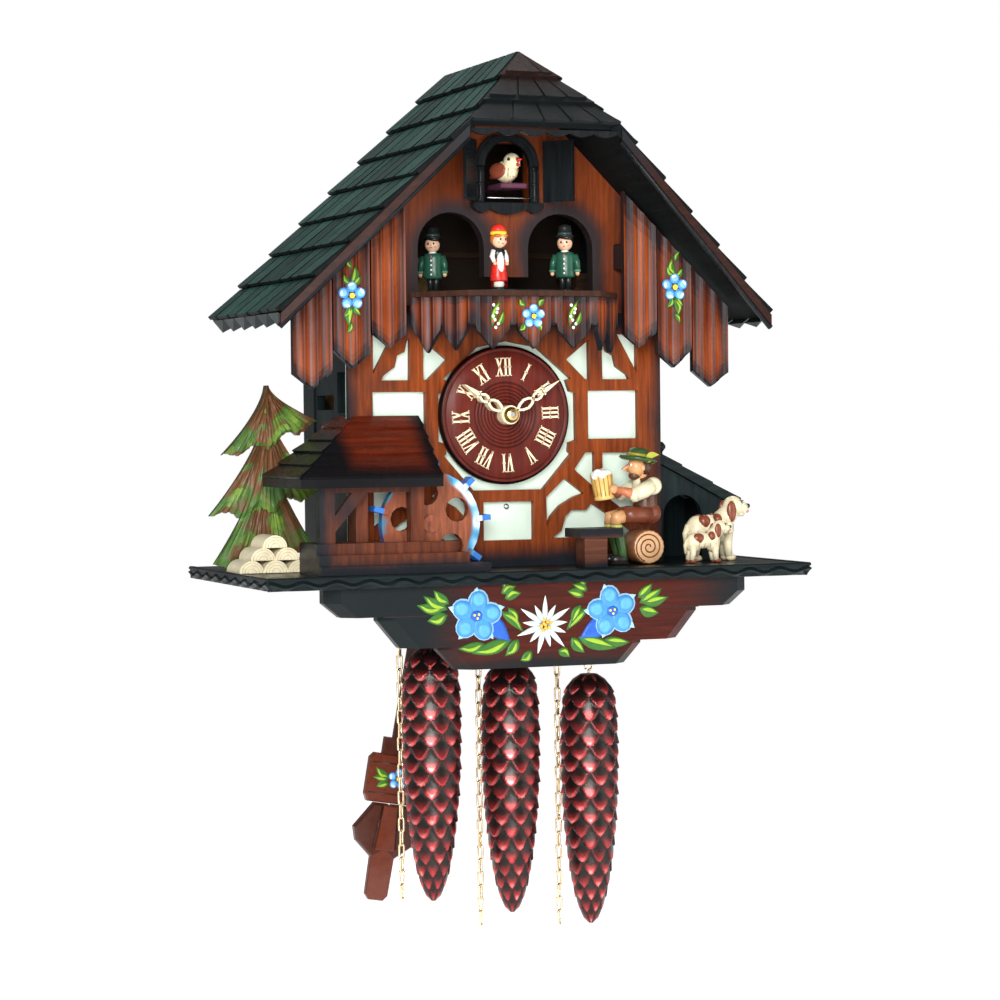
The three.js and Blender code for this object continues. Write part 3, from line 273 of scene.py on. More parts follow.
def wood(name, light, dark, grain="z", edge=None, shade=(), rough=(0.30, 0.55), bump=0.35, coat=0.04, painted=False,
         clouded=0.0):
    """Stained wood. shade holds (axis, from, to) in house mm: the colour darkens to `edge` from `from` to `to`; for
    the bare wood this is painted shade inside the case.
    """
    n = Nodes(name)
    fibres = n.noise(6.0, GRAIN[grain], 7.0, 0.65, 0.4)
    clouds = n.noise(22.0, (1, 1, 1), 3.0)
    pores = n.noise(14.0, tuple(4 * s for s in GRAIN[grain]), 3.0, 0.7)
    colour = n.ramp(fibres, [(0.3, dark), (0.52, tuple((a + b) / 2 for a, b in zip(light, dark))), (0.7, light)])
    colour = n.mix(n.spread(clouds, 0.4, 0.75, 0.0, 0.35), colour, dark)
    if painted:
        colour = n.mix(1.0, colour, n.paint(), "MULTIPLY")
    total = None
    if clouded:
        mist = n.noise(13.0, (1, 1, 1), 2.0)
        total = n.spread(mist, 0.50, 0.68, 0.0, clouded)
    for axis, start, end in shade:
        offset = SHELF_TOP if axis == 2 else 0.0
        wobble = n.math("MULTIPLY", n.math("SUBTRACT", clouds, 0.5), 0.012)
        part = n.spread(n.math("ADD", n.axis(axis), wobble), (start + offset) * MM, (end + offset) * MM)
        total = part if total is None else n.math("MAXIMUM", total, part)
    if total is not None:
        colour = n.mix(total, colour, edge)
    gloss = n.spread(clouds, 0.3, 0.8, rough[0], rough[1])
    height = n.math("ADD", n.math("MULTIPLY", fibres, 0.6), n.math("MULTIPLY", pores, 0.4))
    return n.finish(colour, gloss, height, bump, 0.0005, coat=coat, specular=0.09)


def painted(name, rough=0.42, coat=0.15, metallic=0.0, bump=0.25):
    """Brush paint whose colour is laid on face by face."""
    n = Nodes(name)
    strokes = n.noise(260.0, (1, 1, 1), 4.0)
    blotch = n.noise(60.0, (1, 1, 1), 2.0)
    tone = n.ramp(strokes, [(0.25, (0.72, 0.70, 0.68)), (0.6, (1.0, 1.0, 1.0))])
    colour = n.mix(0.75, n.paint(), tone, "MULTIPLY")
    gloss = n.spread(blotch, 0.3, 0.8, rough - 0.1, rough + 0.15)
    return n.finish(colour, gloss, strokes, bump, 0.0004, metallic=metallic, coat=coat)


def metal(name, base, dark, rough=0.3):
    """Brushed metal with darker stains."""
    n = Nodes(name)
    stain = n.noise(90.0, (1, 1, 1), 5.0)
    brushed = n.noise(30.0, (90, 90, 6), 3.0)
    colour = n.mix(n.spread(stain, 0.45, 0.75, 0.0, 0.6), base, dark)
    gloss = n.spread(stain, 0.3, 0.8, rough - 0.08, rough + 0.2)
    return n.finish(colour, gloss, brushed, 0.15, 0.0003, metallic=1.0)


def mint_panel():
    """Pale painted panels behind the fretwork."""
    n = Nodes("mint_panel")
    clouds = n.noise(30.0, (1, 1, 1), 4.0)
    colour = n.ramp(clouds, [(0.3, (0.50, 0.60, 0.51)), (0.7, (0.62, 0.73, 0.62))])
    fine = n.noise(400.0, (1, 1, 1), 2.0)
    return n.finish(colour, 0.6, fine, 0.15, 0.0003)


def hand_cream():
    """Ivory-coloured hands."""
    n = Nodes("hand_cream")
    clouds = n.noise(120.0, (1, 1, 1), 4.0)
    colour = n.ramp(clouds, [(0.3, (0.66, 0.54, 0.30)), (0.6, (0.84, 0.76, 0.52))])
    return n.finish(colour, 0.35, clouds, 0.1, 0.0003, coat=0.3)


def wheel_paint():
    """Stained wheel whose rim and paddles are painted blue, by distance from its axle."""
    n = Nodes("mill_wheel_paint")
    x, _, z = centre("mill_wheel")
    at = n.node("ShaderNodeVectorMath", operation="SUBTRACT")
    n.link(n.coord, at.inputs[0])
    at.inputs[1].default_value = place((x, 0, z))
    flat = n.node("ShaderNodeVectorMath", operation="MULTIPLY")
    n.link(at.outputs[0], flat.inputs[0])
    flat.inputs[1].default_value = (1, 0, 1)
    length = n.node("ShaderNodeVectorMath", operation="LENGTH")
    n.link(flat.outputs[0], length.inputs[0])
    radius = length.outputs["Value"]
    fibres = n.noise(6.0, (60, 60, 8), 6.0)
    stained = n.ramp(fibres, [(0.3, (0.10, 0.026, 0.013)), (0.7, (0.30, 0.085, 0.036))])
    patches = n.noise(62.0, (1, 1, 1), 1.0)
    rim = n.ramp(patches, [(0.40, (0.20, 0.055, 0.025)), (0.47, (0.035, 0.16, 0.25)), (0.55, (0.10, 0.34, 0.58)),
                           (0.66, (0.62, 0.74, 0.82))])
    colour = n.mix(n.spread(radius, 0.0235, 0.0262), stained, rim)
    colour = n.mix(n.spread(radius, 0.0295, 0.0302), colour, (0.03, 0.15, 0.48))
    return n.finish(colour, 0.4, fibres, 0.3, 0.0004, coat=0.2)


def gable_wood():
    """Gable board: red-brown, airbrushed dark round the arches and at the ends."""
    n = Nodes("gable_stain")
    fibres = n.noise(6.0, GRAIN["z"], 7.0, 0.65, 0.4)
    clouds = n.noise(16.0, (1, 1, 1), 3.0)
    colour = n.ramp(fibres, [(0.3, (0.075, 0.014, 0.004)), (0.7, (0.190, 0.038, 0.008))])
    wobble = n.math("MULTIPLY", n.math("SUBTRACT", clouds, 0.5), 0.016)
    from_arch = n.math("SUBTRACT", n.math("ABSOLUTE", n.axis(0)), 0.0338)
    above = n.math("MAXIMUM", n.math("SUBTRACT", n.axis(2), (183.5 + SHELF_TOP) * MM), 0.0)
    reach = n.math("SQRT", n.math("ADD", n.math("MULTIPLY", from_arch, from_arch), n.math("MULTIPLY", above, above)))
    dark = n.spread(n.math("ADD", reach, wobble), 0.033, 0.0205)
    for axis, start, end in ((0, -56, -74), (0, 60, 82), (2, 246, 262)):
        offset = SHELF_TOP if axis == 2 else 0.0
        part = n.spread(n.math("ADD", n.axis(axis), wobble), (start + offset) * MM, (end + offset) * MM)
        dark = n.math("MAXIMUM", dark, part)
    colour = n.mix(n.math("MULTIPLY", dark, 0.93), colour, (0.012, 0.013, 0.016))
    gloss = n.spread(clouds, 0.3, 0.8, 0.3, 0.5)
    return n.finish(colour, gloss, fibres, 0.35, 0.0005, coat=0.04)


def make_materials():
    MAT["paint"] = painted("brush_paint")
    MAT["gloss_paint"] = painted("figure_lacquer", rough=0.28, coat=0.3, bump=0.1)
    MAT["fret"] = wood("fretwork_stain", (0.27, 0.056, 0.010), (0.075, 0.013, 0.003), "z", NIGHT,
                       [(2, 16, 3), (0, -84, -98), (0, 84, 98), (2, 128, 142)], clouded=0.8)
    MAT["gable"] = gable_wood()
    MAT["flutes"] = wood("fluted_stain", (1.0, 1.0, 1.0), (0.50, 0.46, 0.42), "z", painted=True, bump=0.25)
    MAT["apron"] = wood("apron_stain", (0.085, 0.013, 0.007), (0.030, 0.006, 0.004), "x", (0.008, 0.011, 0.012),
                        [(0, -28, -74), (0, 78, 120), (2, -42, -54)], rough=(0.35, 0.5), coat=0.05)
    MAT["shelf"] = wood("shelf_stain", (0.012, 0.019, 0.019), (0.004, 0.006, 0.007), "x", rough=(0.25, 0.45))
    MAT["side"] = wood("case_side_stain", (0.012, 0.021, 0.022), (0.004, 0.007, 0.008), "z", coat=0.05)
    MAT["shingle"] = wood("shingle_stain", (0.026, 0.082, 0.068), (0.010, 0.032, 0.027), "x", bump=0.6,
                          rough=(0.7, 0.85), painted=True)
    MAT["hip"] = wood("hip_stain", (0.030, 0.010, 0.006), (0.009, 0.007, 0.007), "y", (0.007, 0.009, 0.010),
                      [(2, 284, 262)], bump=0.5)
    # Painted shade: the roof boards are near black so that the gaps between shingles read as shadowed joints; the
    # undersides of the eaves share this colour.
    MAT["slab"] = wood("roof_board_painted_shade", (0.006, 0.008, 0.008), (0.002, 0.003, 0.003), "y", coat=0.0,
                       rough=(0.7, 0.85))
    MAT["verge"] = wood("verge_stain", (0.035, 0.007, 0.003), (0.009, 0.003, 0.002), "x", NIGHT, [(2, 214, 246)],
                        coat=0.05)
    MAT["portal"] = wood("portal_stain", (0.012, 0.014, 0.015), (0.004, 0.005, 0.006), "z", rough=(0.22, 0.4))
    MAT["mill"] = wood("mill_stain", (0.17, 0.045, 0.018), (0.040, 0.012, 0.008), "z", (0.012, 0.014, 0.018),
                       [(0, -112, -124), (2, 10, 2), (0, -44, -28)], clouded=0.85)
    MAT["mill_roof"] = wood("mill_roof_stain", (0.15, 0.022, 0.008), (0.050, 0.008, 0.004), "x",
                            (0.006, 0.006, 0.007), [(0, -98, -112), (2, 66, 54), (0, -68, -56)], rough=(0.2, 0.4))
    MAT["wheel"] = wheel_paint()
    MAT["tree"] = painted("tree_paint", rough=0.5, coat=0.05, bump=0.5)
    MAT["table"] = wood("table_stain", (0.15, 0.050, 0.026), (0.04, 0.015, 0.010), "x", NIGHT,
                        [(2, 8, 0), (2, 15, 19)], clouded=0.5)
    # Bare wood at the back; towards the front its colour darkens to near black, painted shade on the faces inside the
    # case.
    MAT["bare"] = wood("bare_softwood_inner_shade", (0.62, 0.40, 0.20), (0.42, 0.25, 0.11), "z", (0.018, 0.011, 0.007),
                       [(1, -4.2, -6.0)], coat=0.0, rough=(0.5, 0.7))
    # Dark brown for the whistles and the seam strip inside the case: painted shade of the interior.
    MAT["inside"] = wood("inner_painted_shade", (0.055, 0.028, 0.014), (0.018, 0.010, 0.006), "x", coat=0.0, rough=(0.5, 0.7))
    MAT["mint"] = mint_panel()
    MAT["brass"] = metal("satin_brass", (0.66, 0.45, 0.16), (0.30, 0.18, 0.06))
    MAT["chain"] = metal("gilt_chain", (0.84, 0.68, 0.44), (0.55, 0.38, 0.18), 0.28)
    MAT["steel"] = metal("brushed_steel", (0.52, 0.53, 0.54), (0.28, 0.28, 0.28))
    MAT["cone"] = painted("bronzed_iron", rough=0.30, coat=0.2, metallic=0.7, bump=0.3)
    MAT["cream"] = hand_cream()
    MAT["dial_turned"] = wood("dial_turned_stain", (0.130, 0.018, 0.011), (0.060, 0.009, 0.006), "z", bump=0.2,
                              painted=True)
    MAT["pendulum"] = painted("pendulum_stain", rough=0.32, coat=0.3)


# ---------------------------------------------------------------------------
# Paint colours
# ---------------------------------------------------------------------------
GREEN = (0.035, 0.13, 0.02)
LIME = (0.26, 0.41, 0.03)
YELLOW = (0.85, 0.65, 0.05)
PALE_BLUE = (0.30, 0.62, 0.88)
DEEP_BLUE = (0.02, 0.10, 0.45)
WHITE = (0.82, 0.84, 0.80)
BLACK = (0.010, 0.010, 0.012)
CREAM = (0.80, 0.70, 0.46)


def mix3(a, b, t):
    """Colour part way from a to b."""
    t = max(0.0, min(1.0, t))
    return tuple(p + (q - p) * t for p, q in zip(a, b))


# ---------------------------------------------------------------------------
# Mesh building
# ---------------------------------------------------------------------------
CORNERS = list(itertools.product((-1, 1), repeat=3))


def ring_faces(rings, turns, closed=False, caps=True, flip=False):
    """Faces that skin a run of equal rings of points, with a cap at each end unless the run closes on itself."""
    faces = []
    for j in range(rings if closed else rings - 1):
        here, there = j * turns, (j + 1) % rings * turns
        for i in range(turns):
            k = (i + 1) % turns
            faces.append([here + i, here + k, there + k, there + i])
    if caps and not closed:
        faces.append(list(range(turns))[::-1])
        faces.append([(rings - 1) * turns + i for i in range(turns)])
    return [face[::-1] for face in faces] if flip else faces


def oriented(outline):
    """The outline turned anticlockwise, and the mean of its points."""
    area = sum(a[0] * b[1] - b[0] * a[1] for a, b in zip(outline, outline[1:] + outline[:1]))
    count = len(outline)
    return (outline[::-1] if area < 0 else outline, sum(p[0] for p in outline) / count,
            sum(p[1] for p in outline) / count)


def prism(plan, z0, z1):
    """Points of a plan outline at two heights."""
    return [(x, y, z) for z in (z0, z1) for x, y in plan]


class Piece:
    """Collects closed bodies, in house mm, with a paint colour for each face."""

    def __init__(self):
        self.verts = []
        self.faces = []
        self.paints = []
        self.smooth = []

    def add(self, verts, faces, paint=(1, 1, 1), smooth=True):
        base = len(self.verts)
        self.verts.extend(tuple(v) for v in verts)
        for i, face in enumerate(faces):
            self.faces.append([base + k for k in face])
            self.paints.append(paint[i] if isinstance(paint, list) else paint)
            self.smooth.append(smooth)
        return self

    def lathe(self, profile, at, paint, turns=20, axis="z", squash=(1, 1), spin=None):
        """profile is (radius, height); spin turns the body by a matrix before it is moved."""
        verts = []
        for r, h in profile:
            for i in range(turns):
                a = 2 * math.pi * i / turns
                u, v = r * math.cos(a) * squash[0], r * math.sin(a) * squash[1]
                point = {"z": (u, v, h), "y": (u, h, v), "x": (h, u, v)}[axis]
                verts.append(point)
        if spin is not None:
            verts = [tuple(spin @ Vector(v)) for v in verts]
        verts = [tuple(a + b for a, b in zip(v, at)) for v in verts]
        return self.add(verts, ring_faces(len(profile), turns, flip=axis == "y"), paint)

    def ball(self, at, radii, paint, turns=14, spin=None):
        """Ellipsoid."""
        if isinstance(radii, (int, float)):
            radii = (radii, radii, radii)
        rings = max(5, turns // 2)
        profile = []
        for j in range(rings + 1):
            a = math.pi * j / rings
            profile.append((max(0.03, math.sin(a)), -math.cos(a)))
        scale = Matrix.Diagonal(Vector(radii))
        turn = scale if spin is None else spin @ scale
        return self.lathe(profile, at, paint, turns, spin=turn)

    def tube(self, points, radii, paint, turns=8, closed=False):
        """Round bar along points; side keeps its section from twisting."""
        points = [Vector(p) for p in points]
        if isinstance(radii, (int, float)):
            radii = [radii] * len(points)
        count = len(points)
        verts = []
        side = None
        for i, p in enumerate(points):
            ahead = points[(i + 1) % count] if closed or i < count - 1 else p
            behind = points[i - 1] if closed or i > 0 else p
            along = (ahead - behind).normalized()
            if side is None:
                side = along.orthogonal().normalized()
            side = (side - along * side.dot(along)).normalized()
            other = along.cross(side)
            for k in range(turns):
                a = 2 * math.pi * k / turns
                verts.append(tuple(p + (side * math.cos(a) + other * math.sin(a)) * radii[i]))
        return self.add(verts, ring_faces(count, turns, closed), paint)

    def block(self, lows, highs, paint=(1, 1, 1), chamfer=0.5):
        """Box with chamfered edges."""
        c = min([chamfer] + [(b - a) * 0.45 for a, b in zip(lows, highs)])
        centre_point = [(a + b) / 2 for a, b in zip(lows, highs)]
        half = [(b - a) / 2 for a, b in zip(lows, highs)]
        verts = []
        index = {}
        for axis in range(3):
            for signs in CORNERS:
                point = [centre_point[i] + signs[i] * (half[i] - (0 if i == axis else c)) for i in range(3)]
                index[(axis, signs)] = len(verts)
                verts.append(point)
        faces = []
        for axis in range(3):
            u, v = (axis + 1) % 3, (axis + 2) % 3
            for side in (-1, 1):
                ring = []
                for a, b in ((-1, -1), (1, -1), (1, 1), (-1, 1)):
                    signs = [0, 0, 0]
                    signs[axis], signs[u], signs[v] = side, a, b
                    ring.append(index[(axis, tuple(signs))])
                faces.append(ring if side > 0 else ring[::-1])
        for axis in range(3):
            u, v = (axis + 1) % 3, (axis + 2) % 3
            for a in (-1, 1):
                for b in (-1, 1):
                    ring = []
                    for which, end in ((u, -1), (u, 1), (v, 1), (v, -1)):
                        signs = [0, 0, 0]
                        signs[axis], signs[u], signs[v] = end, a, b
                        ring.append(index[(which, tuple(signs))])
                    faces.append(ring if a * b > 0 else ring[::-1])
        for signs in CORNERS:
            ring = [index[(0, signs)], index[(1, signs)], index[(2, signs)]]
            faces.append(ring if signs[0] * signs[1] * signs[2] > 0 else ring[::-1])
        return self.add(verts, faces, paint, False)

    def plate(self, outline, y_front, y_back, paint=(1, 1, 1), inset=0.0):
        """Outline in (x, z) between two depths; inset bevels the front edge."""
        outline, cx, cz = oriented(outline)
        rings = []
        if inset:
            size = max(math.hypot(p[0] - cx, p[1] - cz) for p in outline)
            k = 1 - inset / size
            rings.append(([(cx + (x - cx) * k, cz + (z - cz) * k) for x, z in outline], y_front))
            rings.append((outline, y_front + inset))
        else:
            rings.append((outline, y_front))
        rings.append((outline, y_back))
        verts = [(x, y, z) for ring, y in rings for x, z in ring]
        return self.add(verts, ring_faces(len(rings), len(outline), flip=True), paint, False)

    def stroke(self, outline, y, rise, paint):
        """Raised brush stroke on a face that looks along -Y."""
        outline, cx, cz = oriented(outline)
        verts = [(x, y + 0.3, z) for x, z in outline]
        verts += [(x, y - rise * 0.6, z) for x, z in outline]
        verts += [(cx + (x - cx) * 0.6, y - rise, cz + (z - cz) * 0.6) for x, z in outline]
        return self.add(verts, ring_faces(3, len(outline)), paint)

    def turned(self, matrix, pivot=(0, 0, 0)):
        """Turns the whole piece about a pivot."""
        pivot = Vector(pivot)
        self.verts = [tuple(matrix @ (Vector(v) - pivot) + pivot) for v in self.verts]
        return self

    def moved(self, by):
        self.verts = [tuple(a + b for a, b in zip(v, by)) for v in self.verts]
        return self

    def join(self, other):
        base = len(self.verts)
        self.verts.extend(other.verts)
        self.faces.extend([[base + k for k in face] for face in other.faces])
        self.paints.extend(other.paints)
        self.smooth.extend(other.smooth)
        return self

    def make(self, name, material, body=HOUSE, replaces=(), slot=None, bevel=0.0):
        mesh = bpy.data.meshes.new(name)
        mesh.from_pydata([place(v) for v in self.verts], [], self.faces)
        layer = mesh.color_attributes.new("paint", "FLOAT_COLOR", "CORNER")
        at = 0
        for face, paint in zip(self.faces, self.paints):
            for _ in face:
                layer.data[at].color = (*paint, 1)
                at += 1
        mesh.polygons.foreach_set("use_smooth", self.smooth)
        mesh.materials.append(MAT[material])
        mesh.validate()
        mesh.update()
        obj = bpy.data.objects.new(name, mesh)
        bpy.context.collection.objects.link(obj)
        if bevel:
            add_bevel(obj, bevel)
        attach(obj, body)
        if replaces:
            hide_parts(*replaces)
        return obj


def add_bevel(obj, width_mm, segments=2):
    """Rounds the edges."""
    bevel = obj.modifiers.new("soft_edges", "BEVEL")
    bevel.width = width_mm * MM
    bevel.segments = segments
    bevel.limit_method = "ANGLE"
    bevel.angle_limit = math.radians(35)


def dress(node, material, bevel=0.0):
    """Gives a CAD node its finish."""
    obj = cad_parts[node]
    obj.data.materials.clear()
    obj.data.materials.append(MAT[material])
    if bevel:
        add_bevel(obj, bevel)


# ---------------------------------------------------------------------------
# Painted flowers
# ---------------------------------------------------------------------------
def ellipse(cx, cz, along, across, angle, count=14):
    """Outline of a turned ellipse."""
    cos, sin = math.cos(angle), math.sin(angle)
    points = []
    for i in range(count):
        a = 2 * math.pi * i / count
        u, v = along * math.cos(a), across * math.sin(a)
        points.append((cx + u * cos - v * sin, cz + u * sin + v * cos))
    return points


def leaf_outline(start, end, width, bend=0.0, count=7):
    """Pointed leaf from start to end, bulging to one side by bend."""
    ax, az = start
    bx, bz = end
    dx, dz = bx - ax, bz - az
    length = math.hypot(dx, dz)
    ux, uz = dx / length, dz / length
    left, right = [], []
    for i in range(count + 1):
        t = i / count
        half = width * 0.5 * math.sin(math.pi * t ** 0.8) + 0.05
        off = bend * math.sin(math.pi * t)
        mx, mz = ax + dx * t - uz * off, az + dz * t + ux * off
        left.append((mx - uz * half, mz + ux * half))
        right.append((mx + uz * half, mz - ux * half))
    return left + right[::-1]


def leaf(piece, start, end, width, y, bend=0.0):
    """Green brush-stroke leaf with a lighter streak inside."""
    rise = 0.35
    piece.stroke(leaf_outline(start, end, width * 1.25, bend), y, rise, GREEN)
    sx, sz = start
    ex, ez = end
    inner = ((sx + (ex - sx) * 0.15, sz + (ez - sz) * 0.15), (sx + (ex - sx) * 0.88, sz + (ez - sz) * 0.88))
    piece.stroke(leaf_outline(*inner, width * 0.40, bend + width * 0.22), y - rise, 0.2, LIME)


def forget_me_not(piece, cx, cz, y, r, turn=0.3):
    """Small blue flower of five petals."""
    for i in range(5):
        a = turn + 2 * math.pi * i / 5
        px, pz = cx + 0.60 * r * math.cos(a), cz + 0.60 * r * math.sin(a)
        piece.stroke(ellipse(px, pz, 0.38 * r, 0.36 * r, a), y, 0.4, (0.07, 0.27, 0.66))
        qx, qz = px + 0.06 * r * math.cos(a), pz + 0.06 * r * math.sin(a)
        piece.stroke(ellipse(qx, qz, 0.27 * r, 0.27 * r, a), y - 0.4, 0.25, (0.20, 0.48, 0.86))
        qx, qz = px + 0.17 * r * math.cos(a + 0.5), pz + 0.17 * r * math.sin(a + 0.5)
        piece.stroke(ellipse(qx, qz, 0.09 * r, 0.20 * r, a + 0.3), y - 0.6, 0.22, (0.75, 0.85, 0.92))
    piece.stroke(ellipse(cx, cz, 0.20 * r, 0.20 * r, 0, 10), y - 0.6, 0.4, YELLOW)


# ---------------------------------------------------------------------------
# Roof
# ---------------------------------------------------------------------------
# The roof boards are stepped: each course's surface starts level with the 45 degree slope through RIDGE_Z and
# stands about 2 mm off it at its foot, and the shingles follow it.
RIDGE_Z = high("roof_left")[2]
EAVE_X = high("roof_right")[0]
ROWS, HIP_ROWS, MILL_ROWS = 8, 3, 5
SLAB = 6.6
APEX_Y, HIP_Y, HIP_HALF = high("roof_hip")[1] + 0.2, low("roof_hip")[1], 45.0
VERGE_Y = -142.0
REAR_Y = -0.4
TOOTH_LONG, TOOTH_PITCH = 21.0, 22.5
WHOLE_ROW = 300    # wider than any row of the mill roof, so that each row is one board
# Painted shade: near black on the underside and edges of every shingle, for the shadow in the joints between shingles.
EDGE_PAINTED_SHADE = (0.1, 0.1, 0.1)


def courses(left, right, normal, count, width, upper, lower, thick, skip=0.0, gap=0.5):
    """Lapped shingles between two boundary lines, given as functions of the way down the slope.

    upper and lower are how far a shingle's face stands off the slope at its top and at its foot.
    """
    piece = Piece()
    normal = Vector(normal).normalized()
    for row in range(count):
        top_t, end_t = (row + skip) / count, (row + 1) / count
        a0, a1 = Vector(left(top_t)), Vector(left(end_t))
        b0, b1 = Vector(right(top_t)), Vector(right(end_t))
        span = (b1 - a1).length
        slope = (a1 - a0).normalized()
        at = 0.0
        cuts = [0.0]
        while at < span:
            at += width * RANDOM.uniform(0.7, 1.3)
            cuts.append(min(at, span))
        if len(cuts) > 2 and cuts[-1] - cuts[-2] < width * 0.4:
            cuts.pop(-2)
        for start, stop in zip(cuts, cuts[1:]):
            s, e = (start + gap) / span, (stop - gap) / span
            droop = RANDOM.uniform(-0.6, 0.35)
            high_lift = lower + RANDOM.uniform(-0.25, 0.3)
            corner = min(1.8 / span, (e - s) * 0.3)
            bottom_line = [(s, -0.9), (s + corner, droop), (e - corner, droop), (e, -0.9)]
            ring = [a0.lerp(b0, s)] + [a1.lerp(b1, k) + slope * d for k, d in bottom_line] + [a0.lerp(b0, e)]
            lifts = [upper] + [high_lift] * 4 + [upper]
            top = [p + normal * k for p, k in zip(ring, lifts)]
            bottom = [p + normal * (k - thick) for p, k in zip(ring, lifts)]
            shade = RANDOM.uniform(0.6, 1.35)
            n = len(ring)
            order = 1 if (ring[1] - ring[0]).cross(ring[-1] - ring[0]).dot(normal) > 0 else -1
            faces = [list(range(n))[::order], [n + i for i in range(n)][::-order]]
            faces += [[i, n + i, n + (i + 1) % n, (i + 1) % n][::order] for i in range(n)]
            # The face takes a random tone; the underside and edges take the painted shade.
            piece.add(top + bottom, faces, [(shade,) * 3] + [EDGE_PAINTED_SHADE] * (n + 1), False)
    return piece


def slope_point(side, t, y):
    """Point on a roof slope, t of the way from ridge to eave."""
    return (side * EAVE_X * t, y, RIDGE_Z - EAVE_X * t)


def front_y(t):
    """Depth of the roof's front edge, t of the way down: the hip first, then the verge."""
    x = EAVE_X * t
    if x < HIP_HALF:
        return APEX_Y + (HIP_Y - APEX_Y) * x / HIP_HALF
    return HIP_Y + (VERGE_Y - HIP_Y) * (x - HIP_HALF) / (EAVE_X - HIP_HALF)


def build_roof():
    """Shingles, verge strips and bars, eave teeth and the scalloped hip."""
    for side, name in ((-1, "roof_left"), (1, "roof_right")):
        rear = lambda t, s=side: slope_point(s, t, REAR_Y)
        front = lambda t, s=side: slope_point(s, t, front_y(t) + 0.3)
        piece = courses(rear, front, (side, 0, 1), ROWS, 19.0, upper=0.5, lower=2.9, thick=2.0, gap=1.2)
        piece.make(f"{name}_shingles", "shingle", slot="shingle_wood")
        dress(name, "slab", 0.4)
        under = SLAB * math.sqrt(2) + 0.1
        (xa, ya), (xb, yb) = (HIP_HALF + 0.5, HIP_Y), (EAVE_X - 0.5, VERGE_Y)
        cover = Piece()
        verts = []
        for ahead in (-0.9, 0.3):
            for x, y in ((xa, ya), (xb, yb)):
                z = RIDGE_Z - x
                verts += [(side * x, y + ahead, z - 0.7), (side * x, y + ahead, z - under + 2.4)]
        faces = [[0, 1, 3, 2], [4, 6, 7, 5], [0, 2, 6, 4], [1, 5, 7, 3], [0, 4, 5, 1], [2, 3, 7, 6]]
        cover.add(verts, [face[::side] for face in faces], (1, 1, 1), False)
        cover.make(f"{name}_verge_face", "verge", bevel=0.3, slot="stained_wood")
        bar = Piece()
        ends = [(side * x, y + 1.4, RIDGE_Z - x - under + 1.5) for x, y in ((xa, ya), (xb, yb))]
        bar.tube(ends, 1.7, (1, 1, 1), 12)
        bar.make(f"{name}_verge_bar", "portal", slot="dark_wood")
        teeth = Piece()
        eave_z = RIDGE_Z - EAVE_X
        at = VERGE_Y + 3
        while at < -14:
            x0, x1 = side * (EAVE_X - 6.5), side * (EAVE_X - 0.4)
            z = eave_z - 0.6
            end = at + TOOTH_LONG
            points = [(x0, at, z - 3.6), (x0, end, z - 3.6), (x1, end, z + 0.9), (x1, at, z + 0.9),
                      ((x0 + x1) / 2, (at + end) / 2, z - 6.4)]
            faces = [[0, 1, 2, 3], [0, 4, 1], [1, 4, 2], [2, 4, 3], [3, 4, 0]]
            teeth.add(points, [face[::side] for face in faces], (1, 1, 1), False)
            at += TOOTH_PITCH
        teeth.make(f"{name}_eave_teeth", "side", slot="shingle_wood")
    apex = Vector((0, APEX_Y, RIDGE_Z))
    foot = Vector((HIP_HALF, HIP_Y, RIDGE_Z - HIP_HALF))
    left = lambda t: (-foot.x * t, apex.y + (foot.y - apex.y) * t, apex.z + (foot.z - apex.z) * t)
    right = lambda t: (foot.x * t, apex.y + (foot.y - apex.y) * t, apex.z + (foot.z - apex.z) * t)
    hip = courses(left, right, (0, -1, 0.911), HIP_ROWS, 18.0, upper=0.35, lower=2.6, thick=1.6, skip=0.02, gap=0.8)
    hip.make("roof_hip_shingles", "hip", slot="shingle_wood")
    dress("roof_hip", "hip", 0.4)
    scallop = Piece()
    waves, line = 6, []
    reach = HIP_HALF - 1
    for i in range(waves * 8 + 1):
        t = i / (waves * 8)
        line.append((reach * (2 * t - 1), foot.z - 4.6 - 2.0 * abs(math.sin(math.pi * waves * t))))
    lip = HIP_Y + 0.9
    for a, b in zip(line, line[1:]):
        scallop.plate([(a[0], foot.z - 3.0), a, b, (b[0], foot.z - 3.0)], lip, lip + 3.0)
    scallop.make("roof_hip_scallops", "portal", slot="shingle_wood")


# ---------------------------------------------------------------------------
# Fluted boards
# ---------------------------------------------------------------------------
FLUTE = 7.4    # width of one reed
REED_STEPS, BANDS = 12, 16
FLUTE_DEPTH = 1.5
BOARD_LIGHT = (0.36, 0.070, 0.011)
# Blue-grey of the painted highlights along the reeds.
BOARD_HIGHLIGHT = (0.17, 0.165, 0.175)
BOARD_MID = (0.150, 0.025, 0.006)
BOARD_DARK = (0.020, 0.010, 0.010)
BOARD_BLACK = (0.008, 0.010, 0.014)
RAIL_BROWN = (0.05, 0.022, 0.014)


